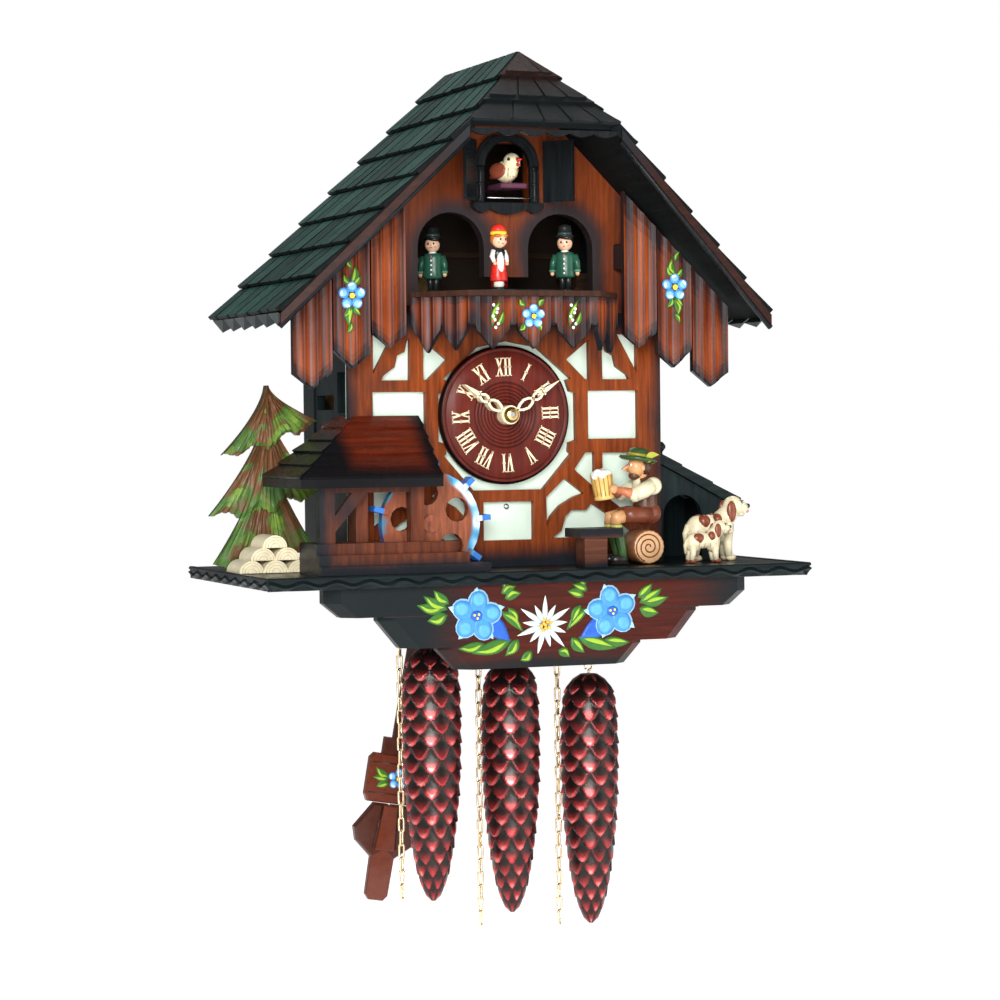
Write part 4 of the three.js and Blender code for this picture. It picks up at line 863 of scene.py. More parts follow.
def fluted(piece, start, direction, length, bottom, top, thick, tip_dark=9.0, top_dark=16.0):
    """Fluted board along a horizontal direction; bottom and top give the edge heights at each distance."""
    dx, dy = direction
    nx, ny = dy, -dx
    waves = max(1, round(length / FLUTE))
    count = waves * REED_STEPS
    tones = [RANDOM.random() for _ in range(waves + 1)]
    # Which reeds carry the strong painted highlight.
    highlit_flutes = [RANDOM.random() < 0.42 for _ in range(waves + 1)]
    shift = RANDOM.uniform(0, 3)
    columns = []
    for i in range(count + 1):
        d = length * i / count
        phase = (i % REED_STEPS) / REED_STEPS
        nick = 0.5 if phase == 0 and 0 < i < count else 0.0
        groove = (0.5 - 0.5 * math.cos(2 * math.pi * phase)) * 0.8 + nick
        columns.append((d, groove, bottom(d), top(d)))
    verts, faces, paints = [], [], []
    for d, groove, z0, z1 in columns:
        x, y = start[0] + dx * d, start[1] + dy * d
        out = -groove * FLUTE_DEPTH
        for j in range(BANDS + 1):
            z = z0 + (z1 - z0) * (j / BANDS) ** 1.3
            verts.append((x + nx * out, y + ny * out, z))
        verts.append((x - nx * thick, y - ny * thick, z1))
        verts.append((x - nx * thick, y - ny * thick, z0))
    ring = BANDS + 3
    for i in range(count):
        middle = (columns[i][0] + columns[i + 1][0]) / 2
        _, groove, z0, z1 = columns[i]
        wave, phase = i // REED_STEPS, (i % REED_STEPS + 0.5) / REED_STEPS
        # Painted highlight: a pale streak in each reed's hollow, strong on some reeds, and a lighter line at each
        # reed's edge. Painted shade: a dark band on one wall of every reed (deep).
        highlight = max(0.0, 1 - abs(phase - 0.42) / 0.17) * (0.85 if highlit_flutes[wave] else 0.1)
        highlight = max(highlight, 0.35 if phase > 0.94 else 0.0)
        deep = max(0.0, 1 - abs(phase - 0.80) / 0.16) * 0.8
        for j in range(ring):
            a, b = i * ring + j, i * ring + (j + 1) % ring
            c, e = (i + 1) * ring + (j + 1) % ring, (i + 1) * ring + j
            faces.append([a, e, c, b])
            if j < BANDS:
                above = (z1 - z0) * ((j + 0.5) / BANDS) ** 1.3
                height = z0 + above
                colour = mix3(BOARD_MID, BOARD_LIGHT, 0.2 + 0.8 * tones[wave] + 0.3 * math.sin(height / 9 + shift))
                # Painted shade on the wall of the reed.
                colour = mix3(colour, BOARD_DARK, deep)
                dark = max(0.0, 1 - above / tip_dark) * 0.9 + max(0.0, 1 - (z1 - z0 - above) / top_dark) * 0.9
                dark += 0.65 * max(0.0, math.sin(shift + 2.6 * middle / length * math.pi)) ** 2
                colour = mix3(colour, BOARD_BLACK, min(0.92, dark))
                # Painted highlight, weaker where the board is dark.
                colour = mix3(colour, BOARD_HIGHLIGHT, highlight * (1 - 0.6 * min(1.0, dark)))
                if above < 0.8:
                    colour = BOARD_BLACK
                paints.append(colour)
            else:
                paints.append(BOARD_BLACK)
    faces.append(list(range(ring)))
    faces.append([count * ring + j for j in range(ring)][::-1])
    paints += [BOARD_DARK, BOARD_DARK]
    piece.add(verts, faces, paints, False)


def polyline(points):
    """Height along a line of (distance, height) corners."""
    def at(d):
        for (d0, z0), (d1, z1) in zip(points, points[1:]):
            if d <= d1 or (d1, z1) == points[-1]:
                return z0 + (z1 - z0) * max(0.0, min(1.0, (d - d0) / (d1 - d0)))
        return points[-1][1]
    return at


def build_wings():
    """Three fluted boards and a flower on each side."""
    under = lambda x: RIDGE_Z - abs(x) - SLAB * math.sqrt(2) - 0.8
    front = low("wing_boards_left")[1]
    boards = [
        (67.0, 87.4, [(0, 133.5), (9.5, 125.7), (20.4, 134.5)]),
        (88.2, 109.8, [(0, 122.5), (10.5, 113.9), (21.6, 124.2)]),
        (110.6, 133.5, [(0, 112.0), (11.7, 102.7), (22.9, 111.3)]),
    ]
    for side, name in ((-1, "wing_boards_left"), (1, "wing_boards_right")):
        piece = Piece()
        for i, (x0, x1, edge) in enumerate(boards):
            length = x1 - x0
            ahead = front - (1 - i) * 0.35
            if side > 0:
                bottom = polyline(edge)
                top = lambda d, a=x0: under(a + d)
                start = (x0, ahead)
            else:
                bottom = polyline([(length - d, z) for d, z in edge[::-1]])
                top = lambda d, b=x1: under(b - d)
                start = (-x1, ahead)
            fluted(piece, start, (1, 0), length, bottom, top, 4.4)
        inner, outer = sorted((side * 67, side * 96))
        piece.block((inner, -110.9, under(96) - 16), (outer, -100.2, under(96) - 1), BOARD_DARK)
        piece.make(f"{name}_fluted", "flutes", replaces=[name], slot="stained_wood")
        flower = Piece()
        cx, cz, y = side * 99.0, 158.0 + 3 * side, front - 0.5
        forget_me_not(flower, cx, cz, y, 8.4, 0.32)
        for dz in (1, -1):
            leaf(flower, (cx, cz + dz * 6), (cx - 2 * side * dz, cz + dz * 17), 3.6, y, 1.2 * side)
            leaf(flower, (cx - 1, cz + dz * 6), (cx - 5, cz + dz * 12), 2.6, y, 0.6)
            leaf(flower, (cx + 1, cz + dz * 6), (cx + 5, cz + dz * 11), 2.6, y, -0.6)
            leaf(flower, (cx, cz + dz * 15), (cx + 3 * side, cz + dz * 21), 2.2, y, 0.4)
        flower.make(f"flower_{name}", "paint")


def build_balcony():
    """Fluted rail in three walls, its top board, the deck and the flowers."""
    rail_top = high("balcony")[2]
    y_front = low("balcony")[1] + 1.5
    half, end_x, end_y = 39.0, 63.5, -114.0
    piece = Piece()

    def wall(a, b, tips):
        length = math.hypot(b[0] - a[0], b[1] - a[1])
        direction = ((b[0] - a[0]) / length, (b[1] - a[1]) / length)
        corners = [(0, 138.0)]
        for d0, d1, tip in tips:
            corners += [(d0 - 0.05, 138.0), (d0, 135.4), ((d0 + d1) / 2, tip), (d1, 135.4), (d1 + 0.05, 138.0)]
        corners.append((length, 138.0))
        fluted(piece, a, direction, length, polyline(corners), lambda d: rail_top - 3.2, 3.6, tip_dark=11.0,
               top_dark=5.0)

    wall((-end_x, end_y), (-half, y_front), [(1.5, 18.5, 122.5), (20.0, 36.0, 123.5)])
    wall((-half, y_front), (half, y_front), [(4.5, 24.5, 124.4), (29, 49, 124.4), (53.5, 73.5, 124.4)])
    wall((half, y_front), (end_x, end_y), [(2.0, 18.0, 123.5), (19.5, 36.5, 122.5)])
    top = [(-end_x, end_y), (-half - 1, y_front - 1.5), (half + 1, y_front - 1.5), (end_x, end_y),
           (end_x - 7, end_y), (half - 3, y_front + 4.5), (-half + 3, y_front + 4.5), (-end_x + 7, end_y)]
    count = len(top)
    quads = [[0, 1, 6, 7], [1, 2, 5, 6], [2, 3, 4, 5]]
    faces = [[count + i for i in quad] for quad in quads] + [quad[::-1] for quad in quads]
    piece.add(prism(top, rail_top - 3.1, rail_top), faces + ring_faces(2, count, caps=False), RAIL_BROWN, False)
    deck = [(-60, -46), (-60, -99.8), (-62.5, -99.8), (-62.5, end_y + 1), (-half, y_front + 4), (half, y_front + 4),
            (62.5, end_y + 1), (62.5, -99.8), (60, -99.8), (60, -46)]
    piece.add(prism(deck, 146.5, 150.2), ring_faces(2, len(deck)), BOARD_DARK, False)
    piece.make("balcony_fluted", "flutes", replaces=["balcony"], slot="stained_wood")
    flower = Piece()
    y = y_front - 0.2
    forget_me_not(flower, -0.5, 142.8, y, 7.2, 0.3)
    for dx, dz in ((-4, 6), (4, 6), (-4, -6), (3, -6)):
        leaf(flower, (-1.5 + dx, 143.5 + dz * 0.8), (-1.5 + dx * 1.9, 143.5 + dz * 1.5), 2.6, y, 0.5)
    for cx in (-23.5, 23.5):
        leaf(flower, (cx - 2, 137), (cx + 3, 152), 2.8, y, 1.0)
        leaf(flower, (cx + 1, 137), (cx + 5, 146), 2.4, y, -0.8)
        for i in range(7):
            flower.ball((cx + 1.6 * math.sin(i * 1.7), y - 0.3, 136.5 + 2.1 * i), (0.95, 0.5, 0.95), WHITE, 8)
        flower.ball((cx - 1.5, y - 0.3, 140), (0.8, 0.5, 0.8), (0.6, 0.06, 0.04), 8)
    flower.make("flowers_balcony", "paint")


# ---------------------------------------------------------------------------
# Shelf and apron
# ---------------------------------------------------------------------------
def build_shelf():
    """Shelf with a wavy carved edge."""
    dress("base_shelf", "shelf", 0.6)
    x1, y0 = high("base_shelf")[0], low("base_shelf")[1]
    bead = Piece()

    def wavy(a, b, out):
        length = math.hypot(b[0] - a[0], b[1] - a[1])
        waves = max(1, round(length / 19))
        steps = waves * 12
        ux, uy = (b[0] - a[0]) / length, (b[1] - a[1]) / length
        verts = []
        for i in range(steps + 1):
            d = length * i / steps
            w = 1.15 * math.cos(2 * math.pi * d / length * waves)
            ridge = -4.1 + w
            section = [(-2.0, 0.4), (0.5, 0.5), (1.2, -0.2), (1.2, ridge + 1.9), (0.1, ridge + 1.2), (1.8, ridge),
                       (0.3, ridge - 1.3), (-2.0, -6.9)]
            for o, z in section:
                verts.append((a[0] + ux * d + out[0] * o, a[1] + uy * d + out[1] * o, z))
        bead.add(verts, ring_faces(steps + 1, len(section)), (1, 1, 1), False)

    wavy((-x1 + 0.5, y0), (x1 - 0.5, y0), (0, -1))
    wavy((x1, y0), (x1, -1), (1, 0))
    wavy((-x1, -1), (-x1, y0), (-1, 0))
    bead.make("shelf_edge_carving", "shelf", slot="dark_wood")


def build_apron():
    """Painted gentians, edelweiss and leaves."""
    dress("base_apron", "apron", 0.7)
    piece = Piece()
    y = low("base_apron")[1] - 0.05
    for cx in (-41.0, 41.0):
        cz = -24.0
        side = 1 if cx > 0 else -1
        piece.stroke(leaf_outline((cx - side * 2, cz - 2), (cx - side * 20, cz - 15), 11, 1.5), y, 0.4, DEEP_BLUE)
        for i in range(5):
            a = math.pi / 2 + 2 * math.pi * i / 5 + 0.15 * side
            px, pz = cx + 8.0 * math.cos(a), cz + 7.6 * math.sin(a)
            tip = (cx + 17.5 * math.cos(a + 0.12), cz + 16 * math.sin(a + 0.12))
            piece.stroke(leaf_outline((px, pz), tip, 5.0, 0.8), y, 0.5, WHITE)
            piece.stroke(ellipse(px, pz, 7.4, 6.3, a), y - 0.1, 0.55, (0.30, 0.52, 0.72))
            piece.stroke(ellipse(px - 0.3, pz - 0.2, 6.7, 5.5, a), y - 0.65, 0.3, (0.05, 0.23, 0.52))
            piece.stroke(ellipse(px + 1.7 * math.cos(a), pz + 1.7 * math.sin(a), 3.9, 3.6, a), y - 0.9, 0.2,
                         (0.09, 0.33, 0.62))
            leaf_tip = leaf_outline((px + 3 * math.cos(a), pz + 3 * math.sin(a)), tip, 3.0, 0.8)
            piece.stroke(leaf_tip, y - 0.45, 0.3, PALE_BLUE)
        piece.stroke(ellipse(cx, cz, 3.4, 3.0, 0.2, 10), y - 0.9, 0.3, DEEP_BLUE)
        for dx, dz in ((-1.4, 0.4), (1.2, 0.8), (0.3, -1.4)):
            piece.ball((cx + dx, y - 1.3, cz + dz), (0.75, 0.4, 0.75), YELLOW, 8)
    petals = 13
    for i in range(petals):
        a = 2 * math.pi * i / petals + 0.1
        reach = 16.5 if i % 2 else 12.5
        tip = (math.cos(a) * reach * 1.08, -30.5 + math.sin(a) * reach)
        piece.stroke(leaf_outline((math.cos(a) * 1.5, -30.5 + math.sin(a) * 1.5), tip, 3.1), y - 0.05 * (i % 2), 0.5,
                     (0.42, 0.50, 0.50))
        piece.stroke(leaf_outline((math.cos(a) * 3, -30.5 + math.sin(a) * 3), tip, 1.9, 0.3), y - 0.5, 0.3, WHITE)
    for i in range(9):
        a = 2.4 * i
        r = 1.25 * math.sqrt(i)
        piece.ball((r * math.cos(a), y - 1.1, -30.5 + r * math.sin(a)), (1.05, 0.6, 1.05), (0.80, 0.42, 0.05), 8)
    sprays = [
        ((-58, -20), (-72, -12), 5), ((-60, -20), (-76, -17), 5), ((-58, -23), (-70, -26), 5.4),
        ((-57, -17), (-66, -9), 4.6), ((-26, -12), (-17, -8), 4), ((-24, -15), (-14, -12), 4.4),
        ((-25, -9), (-20, -5), 3.4), ((-36, -40), (-52, -42), 4.6), ((-20, -38), (-44, -45), 6.0),
        ((-16, -38), (-24, -47), 5.0), ((-26, -22), (-13, -34), 4.2), ((-22, -20), (-16, -30), 3.6),
        ((-8, -45), (-15, -50), 4.4), ((8, -45), (15, -49), 4.4),
    ]
    for start, end, width in sprays:
        leaf(piece, start, end, width, y, 0.8)
        if start[0] < -9:
            leaf(piece, (-start[0], start[1]), (-end[0], end[1]), width, y, -0.8)
    piece.make("apron_flowers", "paint")
    groove = Piece()
    groove.block((-95, y + 0.02, -23.35), (95, y + 0.5, -22.75), (0.02, 0.01, 0.008), 0.1)
    groove.make("apron_groove_line", "paint")


# ---------------------------------------------------------------------------
# Dial and hands
# ---------------------------------------------------------------------------
NUMERALS = ["XII", "I", "II", "III", "IIII", "V", "VI", "VII", "VIII", "IX", "X", "XI"]


def numeral_strokes(text, height):
    """Bars of a Roman numeral as (x0, z0, x1, z1, width), centred on the origin."""
    thick, thin = 1.15, 0.6
    widths = {"I": 2.3, "V": 4.6, "X": 4.8}
    gap = 0.2
    total = sum(widths[c] for c in text) + gap * (len(text) - 1)
    at = -total / 2
    half = height / 2
    bars = []
    for c in text:
        w = widths[c]
        mid = at + w / 2
        if c == "I":
            bars.append((mid, -half, mid, half, thick))
            bars.append((mid - 1.1, half - 0.25, mid + 1.1, half - 0.25, 0.5))
            bars.append((mid - 1.1, -half + 0.25, mid + 1.1, -half + 0.25, 0.5))
            bars.append((mid - 0.95, 0, mid + 0.95, 0, 0.8))
        elif c == "V":
            bars.append((at + 0.9, half, mid, -half, thick))
            bars.append((at + w - 0.8, half, mid, -half, thin))
            bars.append((at - 0.1, half - 0.25, at + 2.0, half - 0.25, 0.5))
            bars.append((at + w - 1.8, half - 0.25, at + w + 0.1, half - 0.25, 0.5))
        else:
            bars.append((at + 0.9, half, at + w - 0.9, -half, thick))
            bars.append((at + w - 0.9, half, at + 0.9, -half, thin))
            for z in (half - 0.25, -half + 0.25):
                bars.append((at - 0.1, z, at + 1.9, z, 0.5))
                bars.append((at + w - 1.9, z, at + w + 0.1, z, 0.5))
        at += w + gap
    return bars


def ribbon(piece, points, widths, y_front, y_back, paint):
    """Flat strip in the dial plane along points, with a width at each."""
    left, right = [], []
    for i, (x, z) in enumerate(points):
        ax, az = points[max(0, i - 1)]
        bx, bz = points[min(len(points) - 1, i + 1)]
        length = math.hypot(bx - ax, bz - az)
        nx, nz = -(bz - az) / length, (bx - ax) / length
        left.append((x + nx * widths[i] / 2, z + nz * widths[i] / 2))
        right.append((x - nx * widths[i] / 2, z - nz * widths[i] / 2))
    for i in range(len(points) - 1):
        piece.plate([left[i], right[i], right[i + 1], left[i + 1]], y_front, y_back, paint)


def fretted_hand(name, node, body, angle, reach):
    """Pierced hand: hub ring, two open loops and a barbed point."""
    cx, _, cz = centre("dial")
    y0, y1 = low(node)[1], high(node)[1]
    paint = (1.0, 1.0, 1.0)
    hand = Piece()
    ring_inner, ring_outer, count = 1.9, 5.4, 40
    for k in range(count):
        a, b = 2 * math.pi * k / count, 2 * math.pi * (k + 1) / count
        hand.plate([(ring_inner * math.cos(a), ring_inner * math.sin(a)),
                    (ring_outer * math.cos(a), ring_outer * math.sin(a)),
                    (ring_outer * math.cos(b), ring_outer * math.sin(b)),
                    (ring_inner * math.cos(b), ring_inner * math.sin(b))], y0, y1, paint)
    s = reach / 36
    for side in (-1, 1):
        loops = [([(0, 5.0), (1.9, 8.2), (2.7, 11.6), (1.9, 14.6), (0.4, 16.6)], 1.35),
                 ([(0.4, 16.6), (1.8, 18.6), (2.0, 20.8), (0.9, 23.0), (0.3, 24.2)], 1.2)]
        for points, width in loops:
            ribbon(hand, [(side * x, z * s) for x, z in points], [width] * len(points), y0, y1, paint)
        ribbon(hand, [(side * 0.6, 25.4 * s), (side * 2.2, 24.2 * s)], [0.9, 0.5], y0, y1, paint)
    ribbon(hand, [(0, 16.0 * s), (0, 17.4 * s)], [2.2, 2.0], y0, y1, paint)
    ribbon(hand, [(0, 23.4 * s), (0, 26 * s), (0, 29 * s), (0, reach)], [1.8, 2.5, 1.9, 0.3], y0, y1, paint)
    turn = Matrix.Rotation(math.radians(angle), 3, "Y")
    hand.turned(turn)
    hand.moved((cx, 0, cz))
    hand.make(name, "cream", body, [node], "cream_hand")


def build_dial():
    """Turned dial, its numerals and the hands."""
    cx, _, cz = centre("dial")
    face = low("dial")[1]
    r = (high("dial")[0] - low("dial")[0]) / 2
    dark, light = (0.45, 0.42, 0.4), (1.0, 1.0, 1.0)
    profile = [(0.02, face + 4.4), (4.3, face + 4.4), (4.3, face + 0.3)]
    ring = 5.0
    while ring < 19.0:
        profile += [(ring, face), (ring + 1.1, face), (ring + 1.35, face + 0.45), (ring + 1.75, face + 0.45)]
        ring += 2.0
    profile += [(19.4, face), (35.7, face), (36.1, face + 0.5), (36.7, face + 0.5), (37.1, face),
                (38.4, face + 0.1), (39.6, face + 0.8), (r, face + 1.8), (r, face + 4.3), (0.02, face + 4.4)]
    piece = Piece()
    turns = 96
    verts, paints = [], []
    for radius, depth in profile[1:-1]:
        for i in range(turns):
            a = 2 * math.pi * i / turns
            verts.append((cx + radius * math.cos(a), depth, cz + radius * math.sin(a)))
    count = len(profile) - 2
    for j in range(count):
        radius, depth = profile[1 + j]
        grooved = depth > face + 0.3
        paint = mix3(light, dark, 1.0 if grooved and radius < 38 else 0.0)
        if radius > 38:
            paint = (0.06, 0.05, 0.05)
        paints += [paint] * turns
    piece.add(verts, ring_faces(count, turns, closed=True, flip=True), paints)
    piece.make("dial_turned", "dial_turned", replaces=["dial"], slot="dial_wood")
    numbers = Piece()
    for hour, text in enumerate(NUMERALS):
        a = math.radians(30 * hour)
        out = Vector((math.sin(a), math.cos(a)))
        across = Vector((math.cos(a), -math.sin(a)))
        middle = Vector((cx, cz)) + out * 27.6
        for x0, z0, x1, z1, width in numeral_strokes(text, 10.6):
            p = middle + across * x0 + out * z0
            q = middle + across * x1 + out * z1
            along = (q - p).normalized()
            side = Vector((-along.y, along.x)) * width / 2
            outline = [tuple(p - side), tuple(q - side), tuple(q + side), tuple(p + side)]
            numbers.plate(outline, face - 0.35, face + 0.2, CREAM)
    numbers.turned(Matrix.Rotation(math.radians(-2.2), 3, "Y"), (cx, 0, cz))
    numbers.make("dial_numerals", "gloss_paint", slot="cream_hand")
    fretted_hand("hour_hand_fretted", "hour_hand", "hour_hand_body", -57, 32)
    fretted_hand("minute_hand_fretted", "minute_hand", "minute_hand_body", 57.2, 36)
    dress("centre_arbor", "steel")
    dress("hand_nut", "brass", 0.2)


# ---------------------------------------------------------------------------
# Cuckoo and doorway
# ---------------------------------------------------------------------------
def portal_frame():
    """Arched frame, side columns and ledge round the doorway."""
    y0, y1 = low("bird_portal")[1], high("bird_portal")[1] - 0.1
    frame_piece = Piece()
    paint = (1, 1, 1)
    middle, inner, outer = 230.5, 13.8, 17.4
    for side in (-1, 1):
        frame_piece.block((min(side * 14.0, side * 19.6), y0 + 0.8, 208.2),
                          (max(side * 14.0, side * 19.6), y1, middle + 0.5), paint, 0.5)
        frame_piece.tube([(side * 16.6, y0 + 1.0, 209), (side * 16.6, y0 + 0.9, 214), (side * 16.6, y0 + 0.9, 226),
                          (side * 16.6, y0 + 1.0, 230)], [2.1, 1.4, 1.4, 2.1], paint, 12)
        for z in (211, 220, 229):
            frame_piece.ball((side * 16.6, y0 + 0.7, z), (2.2, 1.6, 1.5), paint, 12)
    count = 18
    for k in range(count):
        a, b = math.pi * k / count, math.pi * (k + 1) / count
        for r0, r1, ahead in ((inner, outer + 2.2, 0.9), (outer - 1.2, outer + 0.8, 0.0)):
            frame_piece.plate([(r0 * math.cos(a), middle + r0 * math.sin(a)),
                               (r1 * math.cos(a), middle + min(17.4, r1 * math.sin(a))),
                               (r1 * math.cos(b), middle + min(17.4, r1 * math.sin(b))),
                               (r0 * math.cos(b), middle + r0 * math.sin(b))], y0 + ahead, y1, paint)
    ledge = [(-22, 209.4), (-22, 206.6), (-19, 204.2), (-16, 203.2), (-13, 204.8), (-11, 205.6), (-6, 203.4),
             (0, 202.3), (6, 203.4), (11, 205.6), (13, 204.8), (16, 203.2), (19, 204.2), (22, 206.6), (22, 209.4)]
    frame_piece.plate(ledge, y0 - 0.2, y1, paint, 0.5)
    frame_piece.make("bird_portal_arched", "portal", replaces=["bird_portal"], slot="dark_wood")


def build_bird():
    """Bird on its perch, the doors and the wire across the doorway."""
    portal_frame()
    for node in ("bird_door_left", "bird_door_right"):
        dress(node, "portal", 0.3)
    x = centre("cuckoo")[0]
    base = low("cuckoo")[2]
    beak_y = low("cuckoo")[1]
    wing = (0.26, 0.060, 0.030)
    line = (0.42, 0.26, 0.09)
    bird = Piece()
    bird.block((x - 8, beak_y + 2, base), (x + 8, beak_y + 24, base + 3), (0.085, 0.028, 0.05), 0.6)
    bird.block((x - 2, beak_y + 23, base + 0.1), (x + 2, beak_y + 50, base + 2.9), (0.085, 0.028, 0.05), 0.4)
    b = Piece()
    b.ball((0, 0, 10.4), (5.6, 7.4, 6.6), CREAM, 22)
    b.ball((0, -4.6, 15.6), (5.0, 5.0, 5.2), CREAM, 20)
    for side in (-1, 1):
        b.ball((side * 4.6, 2.4, 10.8), (1.9, 6.6, 4.6), wing, 18)
        b.ball((side * 4.3, -6.4, 16.8), (0.9, 1.0, 1.0), BLACK, 10)
        b.tube([(side * 1.8, -1.4, 5), (side * 1.9, -1.8, 2.9)], 0.7, (0.45, 0.22, 0.06), 6)
        for k in range(3):
            crease = [(side * (1.0 + k * 1.5), -6.8 + k * 0.5, 12.6 - k * 0.4),
                      (side * (0.8 + k * 1.3), -6.2 + k * 0.7, 7)]
            b.tube(crease, 0.32, line, 5)
    b.tube([(0, -8, 16.4), (0, -12.6, 16.6)], [2.0, 0.3], (0.50, 0.03, 0.02), 8)
    b.tube([(0, -8, 14.4), (0, -11.4, 12.8)], [1.6, 0.3], (0.50, 0.03, 0.02), 8)
    tail = Matrix.Rotation(math.radians(-105), 3, "X") @ Matrix.Diagonal(Vector((1.3, 0.6, 1)))
    b.lathe([(2.6, 0), (2.2, 5), (0.8, 8)], (0, 5.4, 9), wing, 12, spin=tail)
    b.turned(Matrix.Rotation(math.radians(24), 3, "Z"))
    b.moved((x, beak_y + 14.5, base))
    bird.join(b)
    bird.make("cuckoo_carved", "gloss_paint", "cuckoo_body", ["cuckoo"], "figure_cream")
    bail = Piece()
    sill = 212.0
    y = low("bird_portal")[1]
    reach = y - 0.75
    bail.tube([(-13, y, sill), (-13, reach, sill), (13, reach, sill), (13, y, sill)], 0.45, (1, 1, 1), 6)
    bail.make("door_wire", "steel", slot="steel")


# ---------------------------------------------------------------------------
# Dancers
# ---------------------------------------------------------------------------
HAT_BLACK = (0.012, 0.014, 0.013)
COAT = (0.018, 0.085, 0.052)


def small_face(piece, x, y, z, r):
    """Painted doll's face looking along -Y."""
    piece.ball((x, y, z), (r, r * 0.95, r * 1.02), (0.70, 0.44, 0.29), 18)
    for side in (-1, 1):
        piece.ball((x + side * r * 0.36, y - r * 0.87, z + r * 0.10), (r * 0.14, r * 0.09, r * 0.15), BLACK, 8)
        piece.ball((x + side * r * 0.55, y - r * 0.74, z - r * 0.28), (r * 0.17, r * 0.08, r * 0.13),
                   (0.74, 0.30, 0.20), 8)
    piece.ball((x, y - r * 0.96, z - r * 0.08), (r * 0.12, r * 0.12, r * 0.11), (0.72, 0.40, 0.26), 8)
    piece.ball((x, y - r * 0.86, z - r * 0.42), (r * 0.20, r * 0.08, r * 0.07), (0.60, 0.06, 0.04), 8)


def dancer_man():
    """Dancer in a green coat, standing on the origin."""
    p = Piece()
    p.lathe([(4.4, 0), (4.4, 1.2), (3.4, 1.6)], (0, 0, 0), HAT_BLACK, 18)
    for side in (-1, 1):
        p.tube([(side * 1.6, 0, 1), (side * 1.7, 0, 6), (side * 1.9, 0, 9.5)], [1.7, 1.7, 2.2],
               HAT_BLACK, 10)
    p.lathe([(5.2, 8.2), (5.7, 9.2), (5.6, 13), (5.5, 17), (5.9, 20.4), (5.0, 22.6), (1.8, 23.6)], (0, 0, 0), COAT, 22,
            squash=(1, 0.78))
    for side in (-1, 1):
        p.tube([(side * 5.4, 0, 21.2), (side * 7.0, -0.2, 16.5), (side * 7.3, -0.8, 12.2)],
               [2.0, 1.9, 1.7], COAT, 12)
        p.lathe([(1.85, -0.7), (1.95, 0.7)], (side * 7.3, -0.8, 12.0), (0.10, 0.22, 0.13), 12)
        p.ball((side * 7.3, -1.0, 10.6), (1.3, 1.3, 1.5), (0.72, 0.42, 0.24), 10)
    for i in range(4):
        p.ball((0, -4.35, 10.6 + i * 2.7), (0.62, 0.4, 0.62), WHITE, 8)
    p.lathe([(2.4, 21.4), (2.9, 22.6), (1.8, 24)], (0, -0.6, 0), WHITE, 14)
    p.ball((0, -3.4, 20.6), (1.5, 0.9, 1.6), (0.86, 0.70, 0.70), 10)
    p.ball((0, -4.2, 20.8), (0.6, 0.4, 0.9), (0.55, 0.05, 0.14), 8)
    p.ball((0, 0.7, 29.6), (5.0, 4.6, 4.4), (0.014, 0.010, 0.010), 18)
    small_face(p, 0, -0.7, 28.0, 4.5)
    p.ball((1.2, -2.6, 31.0), (3.6, 2.6, 1.5), (0.014, 0.010, 0.010), 14)
    p.lathe([(4.2, 31.6), (5.5, 31.8), (5.5, 32.5), (4.2, 32.9), (3.9, 36.6), (3.5, 38.2), (1.2, 38.9)], (0, 0, 0),
            HAT_BLACK, 22)
    p.lathe([(4.25, 32.8), (4.25, 33.4), (4.1, 34.2)], (0, 0, 0), (0.03, 0.06, 0.05), 22)
    return p


def dancer_lady():
    """Dancer in a red skirt and white apron, standing on the origin."""
    p = Piece()
    p.lathe([(3.6, 0), (3.6, 1.0), (2.8, 1.4)], (0, 0, 0), HAT_BLACK, 18)
    p.lathe([(2.6, 1.2), (3.0, 2.4), (2.9, 7.6)], (0, 0, 0), (0.80, 0.78, 0.70), 18)
    p.lathe([(4.9, 4.6), (5.2, 5.4), (4.8, 9), (4.2, 13.4), (3.3, 17.0)], (0, 0, 0), (0.62, 0.022, 0.014), 24,
            squash=(1, 0.9))
    p.ball((-0.6, -2.3, 14.4), (2.3, 2.4, 7.4), (0.72, 0.74, 0.68), 16)
    p.lathe([(3.3, 16.6), (3.7, 18.6), (4.0, 21), (3.0, 23.0), (1.4, 23.8)], (0, 0, 0), HAT_BLACK, 20,
            squash=(1, 0.85))
    p.lathe([(4.0, 15.8), (4.1, 16.6), (3.5, 17.2)], (0, 0, 0), (0.62, 0.03, 0.02), 20, squash=(1, 0.9))
    for side in (-1, 1):
        p.tube([(side * 3.4, 0, 22.0), (side * 4.8, -0.4, 18.6), (side * 4.4, -1.8, 15.4)],
               [1.6, 1.5, 1.1], (0.70, 0.70, 0.66), 10)
        p.ball((side * 4.2, -2.2, 14.6), 1.1, (0.72, 0.42, 0.24), 10)
    p.ball((0, 0.7, 28.6), (4.8, 4.3, 4.6), (0.46, 0.13, 0.02), 16)
    small_face(p, 0, -0.6, 27.8, 4.4)
    for side in (-1, 1):
        p.ball((side * 2.2, -2.7, 30.4), (2.4, 2.0, 1.3), (0.46, 0.13, 0.02), 12)
    p.lathe([(4.5, 30.9), (4.8, 31.6), (4.6, 32.8)], (0, 0, 0), (0.85, 0.60, 0.03), 22)
    p.lathe([(4.5, 32.6), (4.1, 34.6), (2.6, 36.4), (0.6, 37.0)], (0, 0, 0), (0.68, 0.030, 0.018), 22)
    return p


